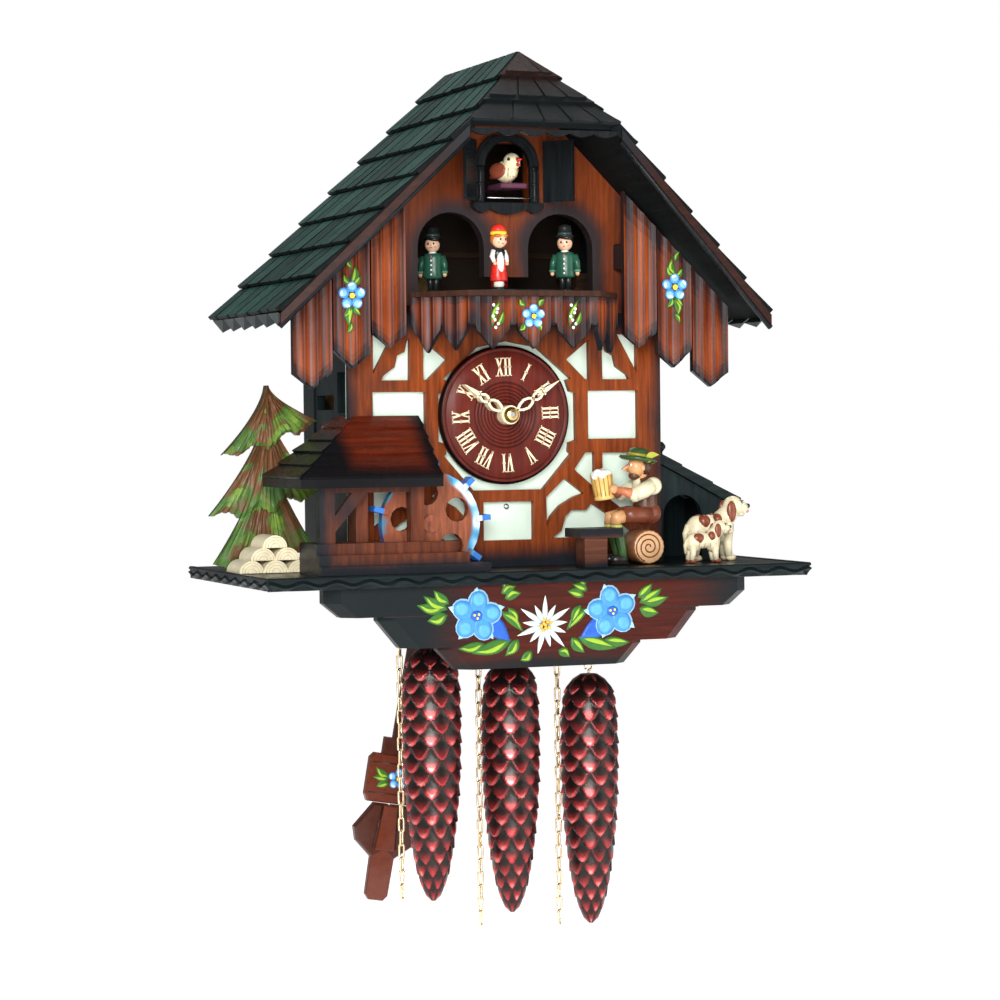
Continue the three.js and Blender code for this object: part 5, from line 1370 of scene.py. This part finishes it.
def build_dancers():
    dress("carousel", "portal", 0.4)
    turn = {"dancer_lady_back": 160, "dancer_lady_front": 14, "dancer_man_left": -34, "dancer_man_right": -30}
    for node, build, slot in (("dancer_lady_front", dancer_lady, "figure_red"),
                              ("dancer_lady_back", dancer_lady, "figure_red"),
                              ("dancer_man_left", dancer_man, "figure_green"),
                              ("dancer_man_right", dancer_man, "figure_green")):
        x, y, _ = centre(node)
        piece = build().moved((x, y, low(node)[2]))
        piece.turned(Matrix.Rotation(math.radians(turn[node]), 3, "Z"), (x, y, 0))
        piece.make(f"{node}_carved", "gloss_paint", "carousel_body", [node], slot)


# ---------------------------------------------------------------------------
# Mill, tree and logs
# ---------------------------------------------------------------------------
def build_mill():
    """Mill house, its lapped roof and its wheel."""
    dress("mill_house", "mill", 0.6)
    dress("mill_roof", "mill_roof", 0.4)
    dress("mill_wheel", "wheel", 0.3)
    ridge = high("mill_roof")[2]
    eave = 53.0
    right_x = high("mill_roof")[0]
    wall_x, wall_y = -92.6, -100.3
    eave_x, eave_y = low("mill_roof")[0], low("mill_roof")[1]
    left = lambda t: (wall_x + (eave_x - wall_x) * t, wall_y + (eave_y - wall_y) * t, ridge + (eave - ridge) * t)
    right = lambda t: (right_x, wall_y + (eave_y - wall_y) * t, ridge + (eave - ridge) * t)
    front = courses(left, right, (0, -(ridge - eave), wall_y - eave_y), MILL_ROWS, WHOLE_ROW,
                    upper=0.25, lower=1.5, thick=1.5)
    front.make("mill_roof_front_courses", "mill_roof", slot="stained_wood")
    rear = lambda t: (wall_x + (eave_x - wall_x) * t, -66.4, ridge + (eave - ridge) * t)
    side = courses(left, rear, (-(ridge - eave), 0, wall_x - eave_x), MILL_ROWS, WHOLE_ROW,
                   upper=0.25, lower=1.5, thick=1.5)
    side.make("mill_roof_side_courses", "mill_roof", slot="stained_wood")


def skirt(piece, apex, left_tip, right_tip, y_front, y_back, waves, seed):
    """One carved tier of the tree: a bell with a wavy lower edge and vertical gouge marks."""
    rnd = random.Random(seed)
    across, down = 44, 15
    gouge = [rnd.uniform(-1, 1) for _ in range(across + 1)]
    tone = [[rnd.random() for _ in range(9)] for _ in range(9)]

    def blotch(u, v):
        i, j = min(7, int(u * 8)), min(7, int(v * 8))
        s, t = u * 8 - i, v * 8 - j
        return ((tone[i][j] * (1 - s) + tone[i + 1][j] * s) * (1 - t)
                + (tone[i][j + 1] * (1 - s) + tone[i + 1][j + 1] * s) * t)

    verts, faces, paints = [], [], []
    for side in (0, 1):
        for i in range(across + 1):
            u = i / across
            wave = 2.6 * math.sin(u * math.pi * waves + seed) + 1.2 * gouge[i]
            hang = 7.5 * math.sin(math.pi * u)
            bx = left_tip[0] + (right_tip[0] - left_tip[0]) * u
            bz = left_tip[1] + (right_tip[1] - left_tip[1]) * u - hang * 0.4 + wave * math.sin(math.pi * u) ** 0.5
            for j in range(down + 1):
                v = j / down
                x = apex[0] + (bx - apex[0]) * (0.02 + 0.98 * v ** 1.3)
                z = apex[1] + (bz - apex[1]) * v ** 0.86
                relief = 0.7 * gouge[min(across, i)] * math.sin(math.pi * v) + 0.5 * math.sin(9 * v + 5 * gouge[i])
                edge = 1.6 * max(0.0, 1 - min(u, 1 - u) * 8) + (1.2 if j == down else 0.0)
                y = (y_front + relief + edge) if side == 0 else y_back
                verts.append((x, y, max(0.3, z)))
    row = down + 1
    layer = (across + 1) * row
    for i in range(across):
        for j in range(down):
            a, b, c, d = i * row + j, i * row + j + 1, (i + 1) * row + j + 1, (i + 1) * row + j
            u, v = (i + 0.5) / across, (j + 0.5) / down
            green = max(0.0, min(1.0, (blotch(u, v) - 0.42) * 4 + (v - 0.72) * 1.8))
            colour = mix3((0.155, 0.066, 0.028), (0.065, 0.150, 0.030), green)
            colour = mix3(colour, (0.24, 0.37, 0.05), max(0.0, (blotch(v, u) - 0.5) * 1.9) * green)
            colour = mix3(colour, (0.03, 0.035, 0.012), 0.35 * max(0.0, gouge[i]))
            faces.append([a, b, c, d])
            paints.append(colour)
            faces.append([layer + d, layer + c, layer + b, layer + a])
            paints.append(colour)
    loop = list(range(down + 1))
    loop += [i * row + down for i in range(1, across + 1)]
    loop += [across * row + j for j in range(down - 1, -1, -1)]
    loop += [i * row for i in range(across - 1, 0, -1)]
    for a, b in zip(loop, loop[1:] + loop[:1]):
        faces.append([a, layer + a, layer + b, b])
        paints.append((0.05, 0.045, 0.016))
    piece.add(verts, faces, paints, False)


def build_tree():
    """Fir tree of three carved tiers."""
    x = -128.5
    front, back = low("tree")[1], high("tree")[1]
    tree = Piece()
    skirt(tree, (x + 1, 74), (x - 32, 3), (x + 29, 12), front + 3.6, back - 0.2, 6, 3)
    skirt(tree, (x + 1, 92), (x - 34.5, 31), (x + 33, 44), front + 1.7, back - 0.8, 7, 5)
    skirt(tree, (x, 106), (x - 27, 66), (x + 31, 85), front - 0.2, back - 1.6, 6, 8)
    tree.make("tree_carved", "tree", replaces=["tree"], slot="tree_green")


def build_logs():
    """Stack of half-round logs."""
    cx = centre("log_pile")[0]
    y0, y1 = low("log_pile")[1], high("log_pile")[1]
    r, pitch, rise = 7.2, 14.0, 7.0
    pile = Piece()
    for row in range(3):
        for i in range(3 - row):
            x = cx + (i - (2 - row) / 2) * pitch
            z = 0.15 + row * rise
            outline = [(x + r * math.cos(a), z + r * math.sin(a)) for a in
                       [math.pi * k / 18 for k in range(19)]]
            tone = RANDOM.uniform(0.86, 1.0)
            paint = (0.80 * tone, 0.72 * tone, 0.50 * tone)
            ahead = RANDOM.uniform(0, 1.6)
            pile.plate(outline, y0 + ahead, y1 - ahead, paint, 0.5)
            for ring in (0.35, 0.6, 0.82):
                points = [(x + ring * r * math.cos(a), y0 + ahead - 0.02, z + 0.2 + ring * r * math.sin(a)) for a in
                          [math.pi * k / 12 for k in range(13)]]
                pile.tube(points, 0.12, (0.50, 0.38, 0.20), 5)
    pile.make("log_pile_cut", "paint", replaces=["log_pile"], slot="log_cream")


# ---------------------------------------------------------------------------
# Table, log seat, drinker, kennel and dogs
# ---------------------------------------------------------------------------
def build_seat():
    """Table, and the log that the drinker sits on."""
    dress("table", "table", 0.8)
    x, y, z = centre("barrel_log")
    r = (high("barrel_log")[0] - low("barrel_log")[0]) / 2
    front = low("barrel_log")[1]
    log = Piece()
    bark, sapwood = (0.24, 0.10, 0.045), (0.62, 0.36, 0.18)
    verts = []
    turns = 40
    rows = [(0.93, front), (1.0, front + 1), (0.99, front + 6), (1.0, front + 12), (0.99, y * 2 - front - 1),
            (0.93, y * 2 - front)]
    for k, depth in rows:
        for i in range(turns):
            a = 2 * math.pi * i / turns
            wob = 1 - 0.03 * (i % 2)
            verts.append((x + r * k * wob * math.cos(a), depth, z + r * k * wob * math.sin(a)))
    log.add(verts, ring_faces(len(rows), turns), [bark] * (len(rows) - 1) * turns + [sapwood, sapwood])
    for end, sign in ((front, -1), (y * 2 - front, 1)):
        spiral = []
        for i in range(64):
            t = i / 63
            a = 2 * math.pi * 2.7 * t
            spiral.append((x + (0.8 + 7.9 * t) * math.cos(a), end + sign * 0.1, z + (0.8 + 7.9 * t) * math.sin(a)))
        log.tube(spiral, 0.42, (0.13, 0.05, 0.025), 6)
    log.make("barrel_log_cut", "paint", replaces=["barrel_log"], slot="bare_wood")


def build_drinker():
    """Seated man with a beer glass; he is built about his seat, and his arms about the shoulders."""
    x, y = 76.9, centre("drinker")[1]
    breeches, sock, boot = (0.16, 0.040, 0.018), (0.05, 0.12, 0.035), (0.022, 0.018, 0.018)
    vest, shirt, tan = (0.085, 0.034, 0.018), (0.66, 0.62, 0.42), (0.58, 0.30, 0.13)
    man = Piece()
    for side in (-4.6, 4.6):
        man.tube([(3, side * 0.9, 28.5), (-8, side, 29), (-14, side, 28.4)], [5.2, 4.9, 4.4],
                 breeches, 14)
        man.tube([(-13, side, 28.2), (-18.4, side, 27.2), (-18.6, side, 23.6)], [4.2, 4.0, 3.3],
                 tan, 14)
        man.tube([(-18.6, side, 24.6), (-16.8, side, 18), (-14.4, side, 8), (-14, side, 4)],
                 [3.1, 3.4, 2.5, 2.4], sock, 12)
        man.lathe([(3.2, 0), (3.6, 1.0), (3.3, 2.0)], (-18.2, side, 21.4), (0.42, 0.40, 0.10), 14)
        man.ball((-16.4, side, 3.2), (5.8, 2.8, 3.0), boot, 16)
        man.block((-22.4, side - 2.5, 0.3), (-11, side + 2.5, 1.5), (0.012, 0.010, 0.010), 0.6)
    man.ball((3.2, 0, 29.6), (8.8, 7.8, 7.4), breeches, 18)
    man.lathe([(6.8, 30), (7.4, 34), (7.3, 40), (6.6, 45), (5.2, 49), (2.8, 51.5)], (2.2, 0, 0), vest, 22,
              squash=(1, 0.9))
    man.ball((-2.6, 0, 42.5), (3.4, 4.2, 8.6), shirt, 16)
    for z in (36, 40, 44):
        man.ball((-5.9, 0, z), (0.5, 0.7, 0.7), (0.6, 0.45, 0.12), 8)
    man.tube([(1, 0, 49), (-0.6, 0, 54)], [3.2, 3.1], tan, 12)
    man.ball((-2.8, 0, 56.4), (5.8, 5.2, 6.0), tan, 20)
    man.ball((1.0, 0, 56.8), (4.8, 5.4, 5.8), (0.06, 0.025, 0.012), 18)
    man.ball((-4.6, 0, 51.6), (3.6, 3.6, 3.0), (0.10, 0.040, 0.018), 14)
    man.tube([(-7.6, 0, 57.6), (-11.6, 0, 55.2), (-8.2, 0, 54.2)], [1.2, 1.4, 0.9], (0.62, 0.27, 0.13), 8)
    for side in (-1, 1):
        man.ball((-7.5, side * 2.2, 57.8), (0.9, 0.7, 0.8), WHITE, 8)
        man.ball((-8.2, side * 2.2, 57.8), (0.4, 0.4, 0.5), BLACK, 8)
        man.ball((-1.4, side * 5.2, 56), (1.4, 0.8, 1.9), tan, 10)
    hat = [(0.5, -0.4), (9.6, -0.2), (11.4, 1.0), (10.4, 2.2), (7.0, 2.6), (6.4, 5.0), (5.2, 7.0), (3.0, 7.6),
           (0.5, 7.2)]
    tilt = Matrix.Rotation(math.radians(9), 3, "Y")
    man.lathe(hat, (-2.4, 0, 60.0), (0.035, 0.075, 0.022), 28, spin=tilt)
    man.lathe([(7.05, 2.5), (7.0, 3.4), (6.8, 4.2)], (-2.4, 0, 60.0), (0.30, 0.26, 0.03), 28, spin=tilt)
    for k in range(5):
        a = 0.7 * k - 1.2
        man.ball((-2.4 + 8.8 * math.cos(a), 8.8 * math.sin(a), 60.6 - 1.3 * math.cos(a)), (1.9, 1.9, 1.2),
                 (0.26, 0.27, 0.03), 10)
    feather = leaf_outline((0, 0), (8.5, 2.0), 3.6, 1.0)
    man.join(Piece().plate([(a - 1, 62.5 + b - 1) for a, b in feather], -8.2, -7.0, (0.36, 0.36, 0.04)))
    man.moved((x, y, 0))
    man.make("drinker_carved", "gloss_paint", replaces=["drinker"], slot="figure_brown")

    arms = Piece()
    for side in (-1, 1):
        arms.ball((0.5, side * 10.0, -0.5), (5.2, 4.0, 5.2), shirt, 18)
        arms.tube([(0, side * 10.3, 0), (-6, side * 10.4, -3.2), (-11.4, side * 10, -5.6)],
                  [4.4, 4.6, 4.0], shirt, 14)
        arms.ball((-11.0, side * 10, -5.6), (4.0, 3.8, 4.0), shirt, 14)
        arms.tube([(-11.4, side * 10, -5.6), (-16, side * 8, -3.6),
                   (-20.5, side * 6, -2.4)], [3.4, 2.6, 2.1], (0.52, 0.17, 0.08), 14)
        arms.ball((-22.2, side * 5.2, -2.0), (3.2, 2.2, 2.8), tan, 14)
    lean = Matrix.Rotation(math.radians(-8), 3, "Y")
    mug = Piece()
    gold, groove = (0.66, 0.42, 0.12), (0.36, 0.19, 0.04)
    wall = [(4.6, -7.6), (5.8, -7.2), (5.9, -6.2), (5.3, -5.0), (5.6, 0), (6.2, 6.2), (6.6, 7.0)]
    mug.lathe(wall, (0, 0, 0), gold, 28)
    for k in range(14):
        a = 2 * math.pi * k / 14
        mug.tube([(5.35 * math.cos(a), 5.35 * math.sin(a), -5.2), (5.75 * math.cos(a), 5.75 * math.sin(a), 0.5),
                  (6.3 * math.cos(a), 6.3 * math.sin(a), 6.4)], 0.32, groove, 5)
    mug.ball((0, 0, 7.6), (6.5, 6.5, 2.6), WHITE, 18)
    for dx, dy, dz in ((-2.6, -1.6, 9.0), (2.2, 1.6, 8.8), (-4.6, -2.2, 6.4), (-1.6, -5.0, 6.6)):
        mug.ball((dx, dy, dz), (2.4, 2.2, 1.7), (0.80, 0.82, 0.76), 12)
    mug.turned(lean)
    mug.moved((-27, 0, -0.6))
    arms.join(mug)
    arms.moved((79.3, y, 46.0))
    arms.make("drinker_arms_carved", "gloss_paint", "drinker_arms_body", ["drinker_arms"], "shirt_cream")


def build_kennel():
    dress("kennel", "side", 0.5)
    dress("kennel_roof", "shelf", 0.4)


def animal(name, node, origin, scale, patches, stretch, paws):
    """Standing dog, built about its chest in its own small frame and then scaled."""
    p = Piece()
    patch, coat, shade = (0.20, 0.050, 0.022), (0.74, 0.66, 0.45), (0.34, 0.24, 0.12)
    p.ball((-7, 0, 21.0), (16.5, 7.0, 7.6), coat, 22)
    p.ball((-16.5, 0, 19.0), (8.6, 7.4, 9.2), coat, 18)
    p.ball((4.4, 0, 20.4), (8.2, 7.2, 10.2), coat, 18)
    p.tube([(3, 0, 24), (8.5, 0, 28.5), (12, 0, 32)], [7.2, 6.6, 6.2], coat, 18)
    p.ball((12.6, 0, 33.4), (7.6, 6.2, 6.4), coat, 22)
    p.tube([(15, 0, 33), (20.4, 0, 32.2), (23.4, 0, 32.0)], [4.9, 4.0, 2.9], coat, 16)
    p.tube([(15, 0, 30.2), (21.0, 0, 28.9)], [3.2, 2.0], coat, 12)
    p.ball((24.6, 0, 33.4), (1.8, 2.0, 1.6), BLACK, 12)
    p.ball((22.8, 0, 30.3), (2.6, 2.3, 1.3), (0.72, 0.06, 0.05), 12)
    for side in (-1, 1):
        p.ball((17.4, side * 3.9, 35.6), (1.0, 0.8, 0.9), BLACK, 8)
        p.tube([(15.6, side * 4.3, 37.0), (19.0, side * 3.9, 36.9)], 0.35, (0.12, 0.05, 0.03), 5)
        p.ball((8.2, side * 6.0, 30.4), (3.8, 1.8, 6.6), patch, 16)
        for x, foot in ((5.6, 7.2), (-19.5, -20.4)):
            y = side * 4.2
            p.tube([(x, y, 17), (x + 0.3, y, 9), (foot - 0.4, y, 3)], [4.2, 3.1, 2.7], coat, 12)
            p.ball((foot + 1.3, y, 2.2), (4.1, 2.9, 2.2), paws, 12)
            for k in (-1, 0, 1):
                p.tube([(foot + 4.5, y + k * 1.2, 2.8), (foot + 5.3, y + k * 1.2, 1.0)], 0.3, (0.10, 0.04, 0.02), 5)
        for k in range(5):
            p.tube([(-20 + 6.2 * k, side * 6.2, 14.5), (-19.4 + 6.2 * k, side * 7.1, 19)], 0.3, shade, 5)
    p.tube([(-23.5, 0, 22), (-26.0, 0, 17), (-25.6, 0, 9)], [2.4, 2.0, 1.1], coat, 10)
    for (px, pz, rx, rz) in patches:
        for side in (-1, 1):
            p.ball((px, side * 4.2, pz), (rx, 3.6, rz), patch, 16)
    p.verts = [(origin[0] + vx * scale * stretch, origin[1] + vy * scale, origin[2] + vz * scale)
               for vx, vy, vz in p.verts]
    p.make(name, "gloss_paint", replaces=[node], slot="figure_cream")


def build_dogs():
    cream = (0.70, 0.60, 0.40)
    animal("dog_carved", "dog", (128.6, centre("dog")[1], 0.1), 0.96, [(-13, 24.4, 5.0, 4.4), (-2.5, 25.6, 3.6, 3.8)],
           0.84, cream)
    animal("puppy_carved", "puppy", (114.6, centre("puppy")[1], 0.1), 0.62,
           [(-13, 23, 6.8, 5.2), (2, 25, 4.6, 4.8)], 0.92, (0.22, 0.060, 0.03))


# ---------------------------------------------------------------------------
# Weights, chains and pendulum
# ---------------------------------------------------------------------------
CONE = [(0.0, 5.5), (0.02, 10.6), (0.05, 14.0), (0.1, 16.4), (0.18, 17.5), (0.32, 17.9), (0.48, 17.4), (0.62, 16.0),
        (0.75, 13.7), (0.86, 10.8), (0.94, 7.6), (0.98, 4.8), (1.0, 1.6)]
LINK_PITCH = 7.8


def cone_radius(t):
    """Radius of the cone, t of the way down."""
    for (a, ra), (b, rb) in zip(CONE, CONE[1:]):
        if t <= b:
            k = (t - a) / (b - a)
            return ra + (rb - ra) * k
    return CONE[-1][1]


def pine_cone(piece, x, y, tip, length):
    """Cast cone with overlapping scales."""
    turns, steps = 112, 230
    row_height, around = 7.6, 8
    rnd = random.Random(int(tip))
    gleam = {}
    verts, paints, marks = [], [], []
    for j in range(steps + 1):
        t = j / steps
        z = tip + length * (1 - t)
        base = cone_radius(t)
        v = t * length / row_height
        row = math.floor(v)
        for i in range(turns):
            a = 2 * math.pi * i / turns
            best, mark = 0.0, (0.0, 1.0, 0)
            for candidate in (row, row - 1):
                u = a / (2 * math.pi) * around + 0.5 * (candidate % 2)
                cell = math.floor(u) % around
                local = (u - math.floor(u) - 0.5) * 2
                end = candidate + 1.45 - 0.85 * abs(local) ** 1.6
                if v <= end:
                    s = (v - candidate) / max(0.3, end - candidate)
                    height = s ** 1.3 * (1 - 0.55 * local * local)
                    if height > best:
                        best, mark = height, (s, local, candidate * around + cell)
            fade = min(1.0, 14 * t, 9 * (1 - t))
            radius = base * (0.90 + 0.105 * best * fade)
            verts.append((x + radius * math.cos(a), y + radius * math.sin(a), z))
            marks.append((best, mark))
    # The colour darkens into the hollows between scales. Copper on the lower part of each scale is partly the bronze's
    # own red and partly painted highlight; the pale shine near the scale's tip is a painted highlight.
    deep, brown, copper_and_highlight, shine = (0.016, 0.014, 0.012), (0.10, 0.016, 0.016), (0.48, 0.040, 0.045), (0.90, 0.34, 0.32)
    for j in range(steps):
        for i in range(turns):
            best, (s, local, cell) = marks[j * turns + i]
            level = gleam.setdefault(cell, rnd.random())
            paint = mix3(deep, brown, best * 1.3 - 0.2)
            ring = 1 - abs(local) / 0.75
            if s > 0.45 and ring > 0:
                paint = mix3(paint, copper_and_highlight, (s - 0.45) * 3.4 * ring * (0.45 + 0.8 * level))
                if level > 0.35:
                    glint = max(0.0, 1 - abs(s - 0.86) * 6) * max(0.0, 1 - abs(local) * 2.6)
                    paint = mix3(paint, shine, glint * level)
            paints.append(paint)
    piece.add(verts, ring_faces(steps + 1, turns, flip=True), paints + [deep, deep])


def chain(piece, x, y, z0, z1, turn=0.0, link_long=10.0, link_wide=5.0, wire=0.62):
    """Oval links, each turned a quarter from the last."""
    count = max(1, int(round((z1 - z0 - link_long) / LINK_PITCH)) + 1)
    pitch = (z1 - z0 - link_long) / max(1, count - 1) if count > 1 else LINK_PITCH
    straight = link_long / 2 - link_wide / 2
    radius = link_wide / 2 - wire
    for k in range(count):
        middle = z0 + link_long / 2 + k * pitch
        angle = turn + (math.pi / 2 if k % 2 else 0)
        points = []
        for i in range(16):
            a = 2 * math.pi * i / 16
            u = radius * math.cos(a)
            w = radius * math.sin(a) + (straight if math.sin(a) >= 0 else -straight)
            points.append((x + u * math.cos(angle), y + u * math.sin(angle), middle + w))
        piece.tube(points, wire, (1, 1, 1), 6, closed=True)


def build_weights():
    """Cones, their hooks, the loaded chains and the free chains."""
    for train in ("strike", "time", "music"):
        node = f"weight_{train}"
        x, y, _ = centre(node)
        tip = low(node)[2]
        length = 148.0
        top = tip + length
        cone = Piece()
        pine_cone(cone, x, y, tip, length)
        cone.make(f"{node}_pine_cone", "cone", f"{node}_body", [node], "cone_iron")
        hook = Piece()
        points = [(x, y, top - 3), (x, y, top + 2)]
        for i in range(11):
            a = -math.pi / 2 + 1.75 * math.pi * i / 10
            points.append((x + 2.4 * math.cos(a), y, top + 4.6 + 2.4 * math.sin(a)))
        hook.tube(points, 0.7, (1, 1, 1), 8)
        hook.make(f"{node}_hook", "chain", f"{node}_body", slot="brass")
        strand = Piece()
        chain(strand, x, y, top + 5.4, high(node)[2], math.pi / 4)
        strand.make(f"{node}_loaded_chain", "chain", f"{node}_body", slot="brass")
        node = f"chain_{train}"
        x, y, _ = centre(node)
        free = Piece()
        chain(free, x - 0.6, y, low(node)[2], high(node)[2], math.radians(45), link_wide=4.3)
        free.make(f"{node}_links", "chain", f"{node}_body", [node], "brass")


def build_pendulum():
    """Rod, carved block and bob, hung at the tilt it rests at."""
    pivot = (-3.0, centre("pendulum")[1], 128.0)
    tilt = Matrix.Rotation(math.radians(10), 3, "Y")
    front, back = pivot[1] - 2.6, pivot[1] + 2.6
    red, edge, deep = (0.105, 0.022, 0.010), (0.020, 0.007, 0.005), (0.055, 0.014, 0.008)
    p = Piece()
    p.plate([(-1.6, 3), (-1.6, -150), (1.6, -150), (1.6, 3)], pivot[1] - 0.9, pivot[1] + 0.9, (0.20, 0.09, 0.04), 0.2)
    p.plate([(-3.4, -146), (-4.6, -238), (4.6, -238), (3.4, -146)], pivot[1] - 1.3, pivot[1] + 1.3, deep, 0.4)
    p.lathe([(1.4, -0.9), (4, -0.9), (4, 0.9), (1.4, 0.9)], (0, pivot[1], 0), (0.6, 0.45, 0.2), 20, "y")
    p.plate([(-9.7, -236), (-9.7, -246.4), (9.7, -246.4), (9.7, -236)], front + 0.6, back - 0.6, deep, 0.8)
    block = [(-14.5, -246), (-17, -249), (-17, -271), (-15, -275), (15, -275), (17, -271), (17, -249), (14.5, -246)]
    p.plate(block, front, back, red, 1.2)
    p.plate([(-7.6, -298), (-7, -330), (-4.5, -333), (4.5, -333), (7, -330), (7.6, -298)], front + 0.5, back - 0.5,
            red, 1.0)
    wing = [(10, -275.5), (20.5, -291), (18, -299), (7, -308), (1, -304), (1, -275.5)]
    for k in (-1, 1):
        p.plate([(k * x, z) for x, z in wing], front, back + 0.1, deep, 1.6)
    p.plate([(-4.4, -276), (-6.2, -303), (6.2, -303), (4.4, -276)], front - 1.0, back - 1, red, 0.9)
    for k in (-1, 1):
        p.tube([(k * 5.2, front - 0.6, -277), (k * 7.2, front - 0.6, -302)], 0.45, edge, 6)
    for z in (-251.5, -269.5):
        p.tube([(-15.5, front - 0.05, z), (15.5, front - 0.05, z)], 0.35, edge, 6)
    flower = Piece()
    forget_me_not(flower, 2.0, -260.0, front - 0.1, 6.6, 0.3)
    leaf(flower, (-3.5, -260), (-13, -254.5), 3.8, front, 0.8)
    leaf(flower, (-4, -261), (-14, -260.5), 3.6, front, -0.6)
    leaf(flower, (-3.5, -263), (-11, -266), 3.6, front, -0.6)
    for piece in (p, flower):
        piece.turned(tilt, (0, pivot[1], 0))
        piece.moved((pivot[0], 0, pivot[2]))
    p.make("pendulum_carved", "pendulum", "pendulum_body", ["pendulum"], "stained_wood")
    flower.make("pendulum_flower", "paint", "pendulum_body")


# ---------------------------------------------------------------------------
# Case and movement
# ---------------------------------------------------------------------------
def build_case():
    """Case boards, front, back, movement and small fittings."""
    for node in ("case_side_left", "case_side_right", "side_vent_left", "side_vent_right"):
        dress(node, "side", 0.4)
    dress("facade_backing", "mint")
    dress("facade_fretwork", "fret", 0.45)
    dress("gable_board", "gable", 0.5)
    # Bare wood, with painted shade on the faces inside the case.
    for node in ("rear_gable", "back_panel"):
        dress(node, "bare", 0.3)
    # Painted shade of the interior on the whistles.
    for node in ("whistle_left", "whistle_right"):
        dress(node, "inside", 0.3)
    # Strip over the seam at the back panel's top, closing the gap, in the dark inner colour: painted shade of the
    # interior.
    seam = Piece()
    z = high("back_panel")[2]
    seam.block((-80, low("back_panel")[1] - 2.2, z - 3), (80, low("back_panel")[1] - 0.3, z + 3), (1, 1, 1), 0.3)
    seam.make("back_seam_strip", "inside", slot="bare_wood")
    for node in ("movement_front_plate", "movement_back_plate", "music_box", "strike_great_wheel", "time_great_wheel",
                 "music_great_wheel"):
        dress(node, "brass")
    dress("wall_hanger", "steel", 0.2)
    screw = Piece()
    x, z = 0.0, 34.5
    y = low("facade_backing")[1]
    screw.lathe([(0.3, -1.4), (1.3, -1.2), (1.7, -0.4), (1.7, 0.3)], (x, y, z), (1, 1, 1), 16, "y")
    screw.make("facade_screw", "steel", slot="steel")


add_camera()
make_materials()
add_studio()
add_floor()
build_case()
build_roof()
build_wings()
build_balcony()
build_shelf()
build_apron()
build_dial()
build_bird()
build_dancers()
build_mill()
build_tree()
build_logs()
build_seat()
build_drinker()
build_kennel()
build_dogs()
build_weights()
build_pendulum()
